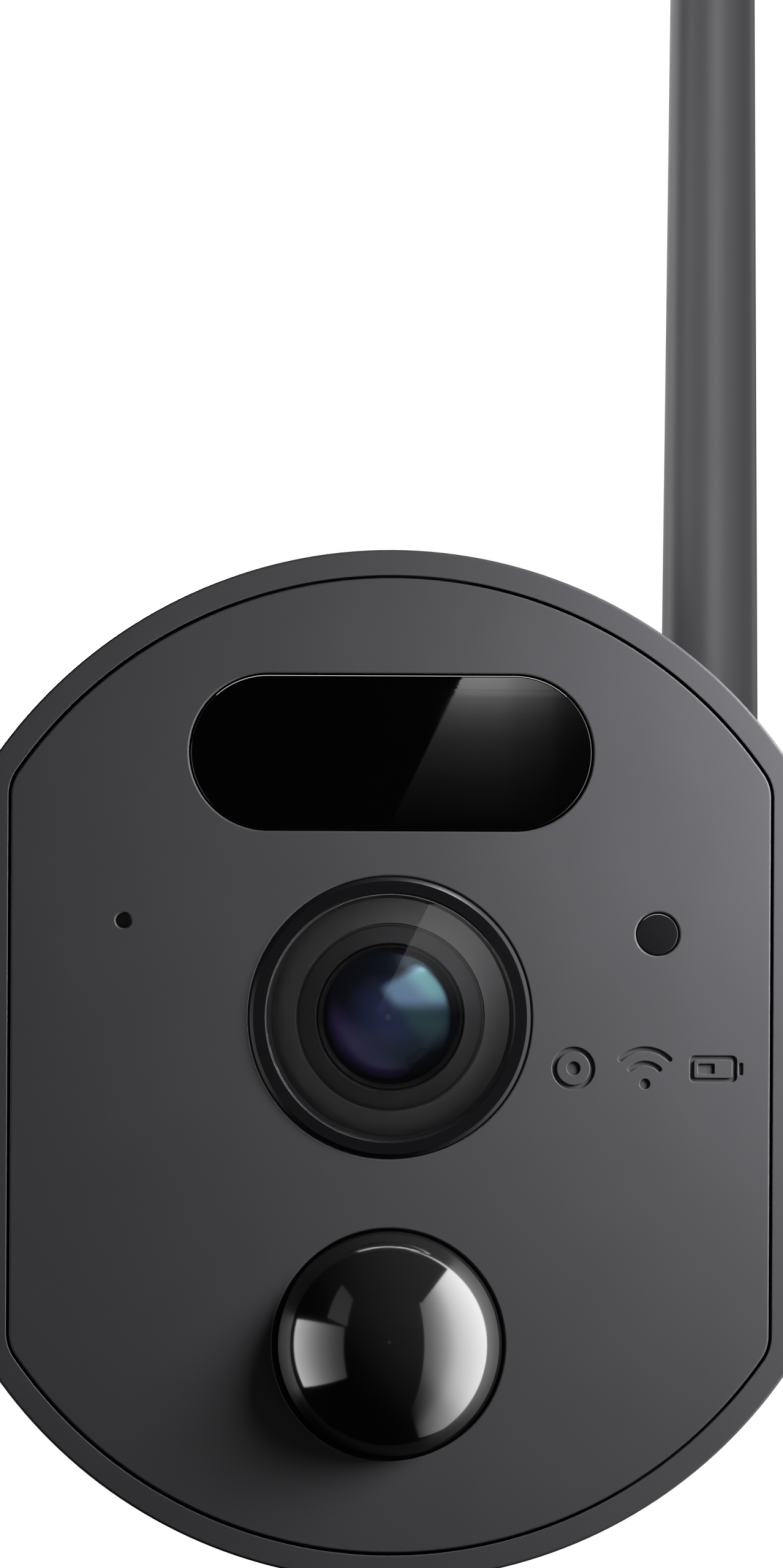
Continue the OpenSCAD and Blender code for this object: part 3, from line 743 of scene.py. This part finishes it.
def make_small_windows():
    b = Build("light_sensor_cover")
    profile = [(0, FRONT + 0.12), (EYE_R, FRONT + 0.12), (EYE_R, FACE_BACK), (EYE_R + 1.2, FACE_BACK),
               (EYE_R + 1.2, FACE_BACK + 0.8), (0, FACE_BACK + 0.8)]
    b.lathe(soften(profile, [0, 0.22, 0, 0, 0, 0], 4), *EYE, 64)
    b.done(BLACK_GLOSS, "camera", ("light_sensor_window",))


# ---- back of the body ----


def speaker_spots():
    spots = [(0.0, 30.0)]
    for ring in (1, 2, 3):
        for k in range(ring * 6):
            a = math.radians(k * 60 / ring)
            spots.append((ring * 3 * math.cos(a), 30 + ring * 3 * math.sin(a)))
    return spots


def make_back():
    b = Build("back_shell")
    inside = BACK - SHELL_THICK
    profile = soften([(4.5, SEAM - 5), (2.5, SEAM - 5), (2.5, SEAM), (0, SEAM), (0, SEAM + 1.9)],
                     [0, 0.2, 0, 0.25, 0], 4)
    for k in range(13):
        a = math.radians(90 * k / 12)
        profile.append((BACK_ROUND * (1 - math.cos(a)), BACK - BACK_ROUND + BACK_ROUND * math.sin(a)))
    rings = ring_walls(b, profile, False)
    tops, through = [], []

    def hole(loop_at, floor, edge=0.2):
        top, low = b.pocket(loop_at, edge, BACK, floor)
        tops.append(top)
        return low

    def hole_through(loop_at, edge=0.2):
        through.append(hole(loop_at, inside, edge))

    for cx, cz in POSTS:
        b.fill(hole(circle_at(cx, cz, 2.95, 48), BACK - 3.2))
    b.fill(hole(circle_at(0, 0, 4.8, 64), BACK - 9.6, 0.3))
    for cx, cz in speaker_spots():
        b.fill(hole(circle_at(cx, cz, 0.8, 24), BACK - 2.4, 0.12))
    hole_through(circle_at(POWER_X, PORT_Z, 3.1, 48))
    hole_through(circle_at(RESET_X, PORT_Z, 1.3, 32), 0.12)
    # the flap's recess with the USB and card openings in its floor
    floor = BACK - FLAP_DEEP
    recess = hole(box_at(FLAP_X, FLAP_Z, 29.4, 7.8, 0.6), floor)
    ports = []
    for cx, cz, w, h, r in ((0, PORT_Z, 10, 4.0, 1.6), (14, -32.25, 11.6, 1.7, 0.3)):
        top, low = b.pocket(box_at(cx, cz, w, h, r), 0.12, floor, inside)
        ports.append(top)
        through.append(low)
    b.fill(recess, ports)
    b.fill(rings[-1], tops)
    inner = b.ring(outline(4.5), inside)
    b.bridge(rings[0], inner)
    b.fill(inner, through)
    b.done(SHELL_BACK, "camera", ("rear_cover",))


def make_antenna_socket():
    b = Build("antenna_socket")
    y = BACK + 3.5
    profile = [(4.1, BACK - 3.0), (4.1, y), (HUB_R, y), (HUB_R, BACK - 1.0), (HUB_R, BACK - 3.0)]
    b.lathe(soften(profile, [0, 0.2, 0.4, 0, 0], 4, True), *ANTENNA, 96)
    b.done(SHELL_BACK, "camera", ())


def make_port_flap():
    b = Build("port_flap_rubber")
    under = BACK - FLAP_DEEP + 0.06
    profile = soften([(0.1, under), (0.0, under), (0, BACK), (2, BACK)], [0, 0, 0.3, 0], 3)[:-1]
    rings = []
    for inset, y in profile:
        loop = rounded_box(FLAP_X, FLAP_Z, 29 - 2 * inset, 7.4 - 2 * inset, max(0.5 - inset, 0.1))
        rings.append(b.ring(loop, y))
    b.bridge_all(rings)
    grip, low = b.pocket(box_at(FLAP_X, -28.9, 8, 0.9, 0.4), 0.1, BACK, BACK - 0.4)
    b.fill(low)
    b.fill(rings[-1], [grip])
    plug_top = b.ring(rounded_box(0, PORT_Z, 8.6, 3.0, 1.4), under)
    plug_low = b.ring(rounded_box(0, PORT_Z, 8.2, 2.7, 1.3), BACK - 2.2)
    b.fill(rings[0], [plug_top])
    b.bridge(plug_top, plug_low)
    b.fill(plug_low)
    b.done(RUBBER, "flap", ("port_flap",))


def make_buttons():
    for name, r, proud, x in (("power_button", 3.0, 0.4, POWER_X), ("reset_button", 1.2, -0.8, RESET_X)):
        b = Build(name + "_cap")
        inside = BACK - 2.6
        top = BACK + proud
        profile = [(0, inside - 0.8), (r + 0.9, inside - 0.8), (r + 0.9, inside), (r, inside), (r, top),
                   (r * 0.72, top), (r * 0.55, top - 0.12), (0, top - 0.12)]
        b.lathe(soften(profile, [0, 0, 0, 0, 0.3, 0.2, 0.2, 0], 4), x, PORT_Z, 64)
        b.done(BLACK, name, (name,))


def make_cover_screws():
    for i, (cx, cz) in enumerate(POSTS):
        b = Build(f"cover_screw_{i + 1}")
        head = BACK - 0.8
        outer = soften([(1.5, SEAM - 16), (1.5, BACK - 3.2), (2.75, BACK - 3.2), (2.75, head), (2.0, head)],
                       [0, 0, 0.1, 0.3, 0], 4)[:-1]
        rings = [b.ring(circle(cx, cz, r, 48), y) for r, y in outer]
        b.bridge_all(rings)
        b.fill(rings[0])
        top, low = b.pocket(circle_at(cx, cz, 1.25, 6), 0.1, head, head - 1.4)
        b.fill(rings[-1], [top])
        b.fill(low)
        replaced = ("cover_screws",) if i == 0 else ()
        b.done(DARK_STEEL, "camera", replaced)


def make_insert():
    b = Build("tripod_insert")
    bore, outer, low, high = 3.15, 4.75, BACK - 9.6, BACK - 0.1
    profile = [(bore, low), (bore, high), (outer, high), (outer, low)]
    threads = []
    for k in range(7):
        y = low + k * THREAD_PITCH + 0.3
        threads += [(bore, y), (3.5, y + THREAD_PITCH / 2)]
    b.lathe([profile[0], *threads, *soften(profile, [0, 0.2, 0.15, 0], 3)[1:]], 0, 0, 96)
    b.done(BRASS, "camera", ("threaded_insert",))


# ---- antenna ----


def make_antenna_arm():
    """The hub and the tapered rod with its round tip."""
    x, z = ANTENNA
    b = Build("antenna_arm")
    low, high = BACK + 3.6, HUB_BACK
    profile = [(4.05, low), (HUB_R, low), (HUB_R, high), (6.5, high), (6.5, high - 4.4), (4.05, high - 4.4)]
    b.lathe(soften(profile, [0, 0.5, 0.9, 0.15, 0, 0], 5, True), x, z, 96)
    top = z + ANTENNA_LEN - ROD_TIP_R
    low, foot = z + 4.4, z + 10.5
    rod = [(0, low), (ROD_FOOT_R + 1.5, low), (ROD_FOOT_R + 0.5, z + 7.6), (ROD_FOOT_R, foot)]
    for k in range(1, 9):
        t = k / 8
        rod.append((ROD_FOOT_R + (ROD_TIP_R - ROD_FOOT_R) * t, foot + (top - foot) * t))
    for k in range(1, 12):
        a = math.radians(90 * k / 12)
        rod.append((ROD_TIP_R * math.cos(a), top + ROD_TIP_R * math.sin(a)))
    rod.append((0, top + ROD_TIP_R))
    b.lathe(rod, x, ROD_Y, 96, False, "z")
    b.done(ROD, "antenna", ("antenna_rod",))


def make_antenna_cap():
    x, z = ANTENNA
    b = Build("antenna_cap_disc")
    y = HUB_BACK - 0.1
    profile = [(0, y - 1.2), (6.4, y - 1.2), (6.4, y), (4.6, y), (4.4, y - 0.25), (0, y - 0.25)]
    b.lathe(soften(profile, [0, 0, 0.35, 0.2, 0.2, 0], 4), x, z, 96)
    b.done(ROD, "antenna", ("antenna_cap",))


# ---- bracket ----


def make_wall_plate():
    """A round plate with three stepped screw holes, and the boss that the arm turns in."""
    b = Build("wall_plate_detailed")
    edge = soften([(PLATE_R, 0), (PLATE_R, PLATE_FRONT), (0, PLATE_FRONT)], [0, 1.2, 0], 5)[:-1]
    rings = [b.ring(circle(0, 0, r, 128), y) for r, y in edge]
    b.bridge_all(rings)
    tops, lows = [], []
    for angle in (90, 210, 330):
        a = math.radians(angle)
        cx, cz = SCREW_RING_R * math.cos(a), SCREW_RING_R * math.sin(a)
        top, seat = b.pocket(circle_at(cx, cz, 4.1, 48), 0.2, PLATE_FRONT, SCREW_SEAT)
        small, low = b.pocket(circle_at(cx, cz, 2.2, 40), 0.15, SCREW_SEAT, 0)
        b.fill(seat, [small])
        tops.append(top)
        lows.append(low)
    boss = soften([(17.5, PLATE_FRONT), (15.2, PLATE_FRONT), (15, -7.5), (15, -16), (7.05, -16), (7.05, -3),
                   (10.5, -3), (10.5, 0)], [0, 1.5, 0, 0.8, 0.3, 0, 0, 0.2], 4)
    turned = [b.ring(circle(0, 0, r, 128), y) for r, y in boss]
    b.bridge_all(turned)
    b.fill(rings[-1], [turned[0], *tops])
    b.fill(rings[0], [turned[-1], *lows])
    b.done(SHELL_BACK, "wall_plate", ("wall_plate",))


def box_faces(b, x0, x1, y0, y1, z0, z1, edge):
    """A block with rounded edges along Y and softened ends."""
    cx, cz, w, h = (x0 + x1) / 2, (z0 + z1) / 2, x1 - x0, z1 - z0
    profile = soften([(edge * 3, y0), (0, y0), (0, y1), (edge * 3, y1)], [0, edge, edge, 0], 3)
    rings = []
    for inset, y in profile:
        corner = max(edge * 3.2 - inset, 0.05)
        rings.append(b.ring(rounded_box(cx, cz, w - 2 * inset, h - 2 * inset, corner), y))
    b.bridge_all(rings)
    b.fill(rings[0])
    b.fill(rings[-1])


def make_arm():
    b = Build("swivel_arm_detailed")
    profile = [(0, -3.2), (7, -3.2), (7, -16.1), (13, -16.1), (13, -20), (10.6, -20.8), (10, -22),
               (10, -26), (0, -26)]
    b.lathe(soften(profile, [0, 0.3, 0, 0.5, 0.9, 0.8, 0.6, 0.4, 0], 4), 0, 0, 96)
    box_faces(b, -EAR_OUT, EAR_OUT, -28, -23.5, -EAR_R, EAR_R, 0.7)
    ear(b, -EAR_OUT, -EAR_IN, -27)
    ear(b, EAR_IN, EAR_OUT, -27)
    b.done(SHELL_BACK, "arm", ("swivel_arm",))


def ear(b, low, high, y_end):
    """A rounded lug about the tilt pivot, between two places along X, with its straight end at y_end."""
    steps = 32
    side = 1 if y_end > PIVOT_Y else -1

    def loop(inset):
        r = EAR_R - inset
        turn = [math.radians(90 + 180 * k / steps) for k in range(steps + 1)]
        half = [(PIVOT_Y + side * r * math.cos(a), r * math.sin(a)) for a in turn]
        return half + [(y_end, half[-1][1]), (y_end, half[0][1])]

    profile = soften([(2, low), (0, low), (0, high), (2, high)], [0, 0.4, 0.4, 0], 3)[1:-1]
    b.bar_x([b.ring_x(loop(inset), x) for inset, x in profile])


def make_head():
    b = Build("tilt_head_detailed")
    y = PIVOT_Y - 12.5
    profile = [(0, y), (12, y), (12, y + 3), (7.2, y + 3.6), (0, y + 3.6)]
    b.lathe(soften(profile, [0, 0.5, 0.7, 0.3, 0], 4), 0, 0, 96)
    ear(b, -6.0, 6.0, PIVOT_Y - 1)
    box_faces(b, -6, 6, PIVOT_Y - 10.2, PIVOT_Y - 0.5, -6, 6, 0.6)
    b.done(SHELL_BACK, "head", ("tilt_head",))


def gear_loop(r, notch, count):
    """A round outline with soft waves for grip."""
    total = count * 10
    out = []
    for k in range(total):
        a = 2 * math.pi * k / total
        wave = 0.5 + 0.5 * math.cos(count * a)
        radius = r - notch * wave**2
        out.append((radius * math.cos(a), radius * math.sin(a)))
    return out


def make_knob():
    b = Build("tilt_knob_detailed")
    profile = soften([(3, -22.2), (0, -22.2), (0, -12.6), (1.0, -12.3), (1.2, -10.3), (4.4, -10.3)],
                     [0, 0.8, 0.4, 0.2, 0.2, 0], 4)
    rings = []
    for inset, x in profile:
        loop = gear_loop(KNOB_R - inset, max(1.3 - inset * 0.4, 0.05), 10)
        rings.append(b.ring_x([(PIVOT_Y + u, v) for u, v in loop], x))
    b.bar_x(rings)
    b.done(BLACK, "knob", ("tilt_knob",))


def make_bolt():
    b = Build("tilt_bolt_detailed")
    under, end = BOLT_HEAD
    shank = soften([(0, -20), (2.5, -20), (2.5, under), (0, under)], [0, 0.3, 0, 0], 3)
    b.lathe(shank, PIVOT_Y, 0, 48, False, "x")
    rings = []
    for inset, x in soften([(0, under), (0, end), (1.2, end)], [0, 0.35, 0], 3):
        rings.append(b.ring_x(circle(PIVOT_Y, 0, 4.6 - inset, 6), x))
    b.bar_x(rings)
    b.done(STEEL, "arm", ("tilt_bolt",))


def make_stud():
    b = Build("camera_stud_detailed")
    start, end = BACK - 8, PIVOT_Y - 10.9
    profile = [(0, start)]
    for k in range(int((end - start - 1.2) / THREAD_PITCH)):
        y = start + k * THREAD_PITCH
        profile += [(STUD_R - 0.35, y + 0.1), (STUD_R, y + THREAD_PITCH / 2)]
    profile += [(STUD_R, end), (0, end)]
    b.lathe(profile, 0, 0, 64)
    b.done(STEEL, "head", ("camera_stud",))


def make_lock_nut():
    b = Build("lock_nut_detailed")
    low, high = BACK + 0.1, BACK + 5.0
    profile = soften([(7.8, low), (0, low), (0, high), (7.8, high)], [0, 0.5, 0.8, 0], 4)
    rings = []
    for inset, y in profile[1:-1]:
        rings.append(b.ring(gear_loop(NUT_R - inset, max(1.0 - inset * 0.5, 0.05), 14), y))
    b.bridge_all(rings)
    bore_top = b.ring(circle(0, 0, STUD_R + 0.05), high)
    bore_low = b.ring(circle(0, 0, STUD_R + 0.05), low)
    b.bridge(bore_top, bore_low)
    b.fill(rings[0], [bore_low])
    b.fill(rings[-1], [bore_top])
    b.done(SHELL_BACK, "lock_nut", ("lock_nut",))


# ---- CAD nodes that keep their own shape ----


def finish_kept_nodes():
    kept = (
        (RUBBER, ("faceplate_seal", "rear_gasket", "microphone_seal", "speaker_seal", "antenna_cable")),
        (BLACK, ("lens_holder", "light_baffle", "motion_retainer", "battery_cradle")),
        (BOARD, ("led_board", "sensor_board", "motion_board", "front_board", "main_board", "port_board")),
        (CHIP, ("white_leds", "infrared_leds", "image_sensor", "board_components", "memory_card",
                "button_switches", "light_sensor", "night_filter")),
        (STEEL, ("inner_screws", "arm_screw", "antenna_pivot", "card_slot", "usb_socket", "microphone",
                 "motion_sensor", "filter_motor", "speaker", "chassis")),
        (BRASS, ("antenna_element",)),
        (CELL, ("battery_cells",)),
    )
    for material, names in kept:
        for name in names:
            keep_node(name, material)


# ---- floor, light and camera ----


def floor_material():
    mat, nodes, links, shader = new_material("floor_pale")
    noise = object_noise(nodes, links, 3.0)
    links.new(tone_between(nodes, links, noise, (0.8,) * 3, (0.784,) * 3), shader.inputs["Base Color"])
    put(shader, Roughness=0.8)
    return mat


def make_floor():
    """A pale floor that has its own sun and doesn't light the camera."""
    mesh = bpy.data.meshes.new("floor")
    corners = [(x, y, FLOOR_Z) for x, y in ((-1.5, -1.6), (1.5, -1.6), (1.5, 0.9), (-1.5, 0.9))]
    mesh.from_pydata(corners, [], [(0, 1, 2, 3)])
    mesh.materials.append(floor_material())
    floor = new_object("floor", mesh)
    floor.visible_glossy = False
    floor.visible_diffuse = False
    data = bpy.data.lights.new("floor_sun", "SUN")
    data.energy = 3.2
    data.angle = 0.5
    sun = new_object("floor_sun", data)
    PIECES["floor"] = floor
    shine_only_on(sun, ["floor"])


def area_light(name, at, aim, size, power):
    data = bpy.data.lights.new(name, "AREA")
    data.shape = "RECTANGLE"
    data.size, data.size_y = size
    data.energy = power
    light = new_object(name, data)
    light.location = at
    direction = Vector(aim) - Vector(at)
    light.rotation_mode = "QUATERNION"
    light.rotation_quaternion = direction.to_track_quat("-Z", "Y")
    return light


def make_world():
    """White where the camera sees it, and otherwise dim, with more light from behind."""
    world = bpy.data.worlds.new("studio")
    bpy.context.scene.world = world
    world.use_nodes = True
    nodes, links = world.node_tree.nodes, world.node_tree.links
    nodes.clear()
    out = nodes.new("ShaderNodeOutputWorld")
    seen = put(nodes.new("ShaderNodeBackground"), Color=(1, 1, 1, 1))
    lighting = nodes.new("ShaderNodeBackground")
    coord = nodes.new("ShaderNodeTexCoord")
    split = nodes.new("ShaderNodeSeparateXYZ")
    links.new(coord.outputs["Generated"], split.inputs["Vector"])
    ramp = nodes.new("ShaderNodeMapRange")
    put(ramp, From_Min=0.1, From_Max=0.9, To_Min=WORLD_FRONT, To_Max=WORLD_BACK)
    links.new(split.outputs["Y"], ramp.inputs["Value"])
    links.new(ramp.outputs["Result"], lighting.inputs["Strength"])
    path = nodes.new("ShaderNodeLightPath")
    mix = nodes.new("ShaderNodeMixShader")
    links.new(path.outputs["Is Camera Ray"], mix.inputs["Fac"])
    links.new(lighting.outputs["Background"], mix.inputs[1])
    links.new(seen.outputs["Background"], mix.inputs[2])
    links.new(mix.outputs["Shader"], out.inputs["Surface"])


def glow_panel(name, corners, strength, fades):
    """A flat softbox that only mirrors in shiny surfaces.

    The four corners are (x, forward, z) in millimetres, forward of the face. fades is a list of
    (axis, [(place, share), ...]), where place runs from 0 to 1 over the panel's box."""
    mesh = bpy.data.meshes.new(name)
    spots = [(x * MM, (FRONT - forward) * MM, z * MM) for x, forward, z in corners]
    mesh.from_pydata(spots, [], [(0, 1, 2, 3)])
    mat = bpy.data.materials.new(name)
    mat.use_nodes = True
    nodes, links = mat.node_tree.nodes, mat.node_tree.links
    nodes.clear()
    out = nodes.new("ShaderNodeOutputMaterial")
    glow = nodes.new("ShaderNodeEmission")
    links.new(glow.outputs["Emission"], out.inputs["Surface"])
    coord = nodes.new("ShaderNodeTexCoord")
    split = nodes.new("ShaderNodeSeparateXYZ")
    links.new(coord.outputs["Generated"], split.inputs["Vector"])
    shares = []
    for axis, stops in fades:
        curve = nodes.new("ShaderNodeFloatCurve")
        points = curve.mapping.curves[0].points
        points[0].location = stops[0]
        points[1].location = stops[-1]
        for stop in stops[1:-1]:
            points.new(*stop)
        curve.mapping.update()
        links.new(split.outputs[axis], curve.inputs["Value"])
        shares.append(curve.outputs["Value"])
    power = nodes.new("ShaderNodeMath")
    power.operation = "MULTIPLY"
    power.inputs[1].default_value = strength
    links.new(times(nodes, links, shares), power.inputs[0])
    links.new(power.outputs["Value"], glow.inputs["Strength"])
    mesh.materials.append(mat)
    panel = new_object(name, mesh)
    panel.visible_camera = False
    panel.visible_diffuse = False
    panel.visible_shadow = False
    panel.visible_transmission = False
    return panel


def shine_only_on(light, names):
    """Lets a light reach only the named pieces."""
    chosen = bpy.data.collections.new(light.name + "_on")
    for name in names:
        chosen.objects.link(PIECES[name])
    light.light_linking.receiver_collection = chosen


def keep_off(light, names):
    """Keeps a light off the named pieces."""
    shine_only_on(light, names)
    for item in light.light_linking.receiver_collection.collection_objects:
        item.light_linking.link_state = "EXCLUDE"


def make_body_light():
    """The key light, close by at the upper right, gives the face its slope of brightness."""
    front = FRONT * MM
    key = area_light("key", (0.106, front - 0.045, 0.048), (0, front, 0), (0.05, 0.06), KEY_POWER)
    key.visible_glossy = False
    keep_off(key, [*HOOD_PARTS, "front_lens_glass", *ANTENNA_PARTS])


def make_lens_lights():
    """A small light for the ring and the front lens, and a tiny one close by for the hood."""
    front = FRONT * MM
    middle = (0, front, LENS_Z * MM)
    ring = area_light("lens_light", (0.095, front - 0.117, 0.20), middle, (0.05, 0.05), LENS_POWER)
    ring.data.use_shadow = False
    shine_only_on(ring, ["front_lens_glass", "lens_ring"])
    hood = area_light("hood_light", (0.0106, front - 0.0095, 0.0145), middle, (0.004, 0.004), HOOD_POWER)
    hood.data.use_shadow = False
    hood.visible_glossy = False
    shine_only_on(hood, HOOD_PARTS)


def make_antenna_lights():
    """A broad light from the front, a fill from the left and a rim of light on each side."""
    middle = (ANTENNA[0] * MM, ROD_Y * MM, 0.08)
    for name, at, size, power in (
        ("antenna_front", (0.55, -1.2, 0.3), (1.5, 0.8), 26),
        ("antenna_left", (-0.6, 0.22, 0.1), (0.3, 0.4), 1.3),
        ("antenna_right", (0.7, 0.65, 0.1), (0.2, 0.4), 0.5),
        ("antenna_fill", (-1.1, -0.9, 0.2), (0.8, 0.8), 8),
    ):
        shine_only_on(area_light(name, at, middle, size, power), ANTENNA_PARTS)


def make_softboxes():
    # the large one on the right is brightest beside the camera body
    right = glow_panel(
        "softbox_right",
        [(300, -60, -950), (300, 503, -950), (300, 503, 1300), (300, -60, 1300)],
        10,
        [("Y", [(0, 0.10), (0.35, 0.24), (0.7, 0.75), (1, 1)]),
         ("Z", [(0, 0.02), (0.22, 0.25), (0.38, 0.9), (0.5, 1), (0.75, 0.35), (1, 0.2)])],
    )
    keep_off(right, ANTENNA_PARTS)
    glow_panel(
        "softbox_left",
        [(-300, 8, -185), (-300, 370, -270), (-300, 370, 85), (-300, 8, 50)],
        5,
        [("Y", [(0, 0.08), (0.5, 0.25), (0.85, 0.7), (1, 1)])],
    )
    glow_panel(
        "softbox_high_left",
        [(-300, 195, 100), (-300, 400, 100), (-300, 400, 700), (-300, 195, 700)],
        0.35,
        [("Z", [(0, 1), (1, 0.4)])],
    )
    top = glow_panel(
        "softbox_top",
        [(-260, 0, 300), (260, 0, 300), (260, 400, 300), (-260, 400, 300)],
        18,
        [("Y", [(0, 0.5), (1, 1)])],
    )
    shine_only_on(top, ["light_window_gloss", "light_sensor_cover"])


def make_glare_cards():
    """Two small cards far in front, which show as glare in the flat windows."""
    glow_panel(
        "glare_window",
        [(-1.5, GLARE_MM, 17), (60, GLARE_MM, 17), (60, GLARE_MM, 62), (20.2, GLARE_MM, 62)],
        5.0,
        [("X", [(0, 0.8), (0.2, 0.9), (0.31, 1), (0.43, 0.7), (0.52, 0.4), (0.6, 0.12), (1, 0)]),
         ("Z", [(0, 0), (0.11, 0.01), (0.3, 0.04), (0.46, 0.12), (0.6, 0.42), (0.72, 1), (1, 1)])],
    )
    glow_panel(
        "glare_lens",
        [(-4.3, GLARE_MM, -18), (34, GLARE_MM, -18), (34, GLARE_MM, 10), (9.3, GLARE_MM, 10)],
        0.55,
        [("X", [(0, 1), (0.5, 0.7), (1, 0.1)]), ("Z", [(0, 0.0), (0.5, 0.5), (1, 1)])],
    )


def make_back_lights():
    middle = (0, BACK * MM, 0)
    area_light("back_fill", (-0.35, 0.55, 0.45), middle, (0.35, 0.35), 22)
    rim = area_light("back_rim", (0.55, 0.25, 0.10), middle, (0.2, 0.5), 3)
    keep_off(rim, ANTENNA_PARTS)


def make_camera():
    """A long lens straight in front, turned slightly, as in the photograph."""
    scene = bpy.context.scene
    data = bpy.data.cameras.new("camera")
    data.lens = LENS_MM
    data.sensor_width = SENSOR_MM
    data.clip_end = 50
    cam = new_object("camera", data)
    scene.camera = cam
    distance = VIEW_HEIGHT_MM * MM * LENS_MM / SENSOR_MM
    cam.matrix_world = (
        Matrix.Translation((0.03 * MM, FRONT * MM - distance, VIEW_MIDDLE_MM * MM))
        @ Matrix.Rotation(math.radians(90), 4, "X")
        @ Matrix.Rotation(math.radians(0.27), 4, "Z")
    )
    scene.view_settings.view_transform = "Standard"


def main():
    make_camera()
    make_housing()
    make_faceplate()
    make_light_window()
    make_lens_ring()
    make_cover_glass()
    make_lens_hood()
    make_lens_barrel()
    make_front_lens()
    make_motion_dome()
    make_small_windows()
    make_back()
    make_antenna_socket()
    make_port_flap()
    make_buttons()
    make_cover_screws()
    make_insert()
    make_antenna_arm()
    make_antenna_cap()
    make_wall_plate()
    make_arm()
    make_head()
    make_knob()
    make_bolt()
    make_stud()
    make_lock_nut()
    finish_kept_nodes()
    make_floor()
    make_world()
    make_body_light()
    make_lens_lights()
    make_antenna_lights()
    make_softboxes()
    make_glare_cards()
    make_back_lights()


main()
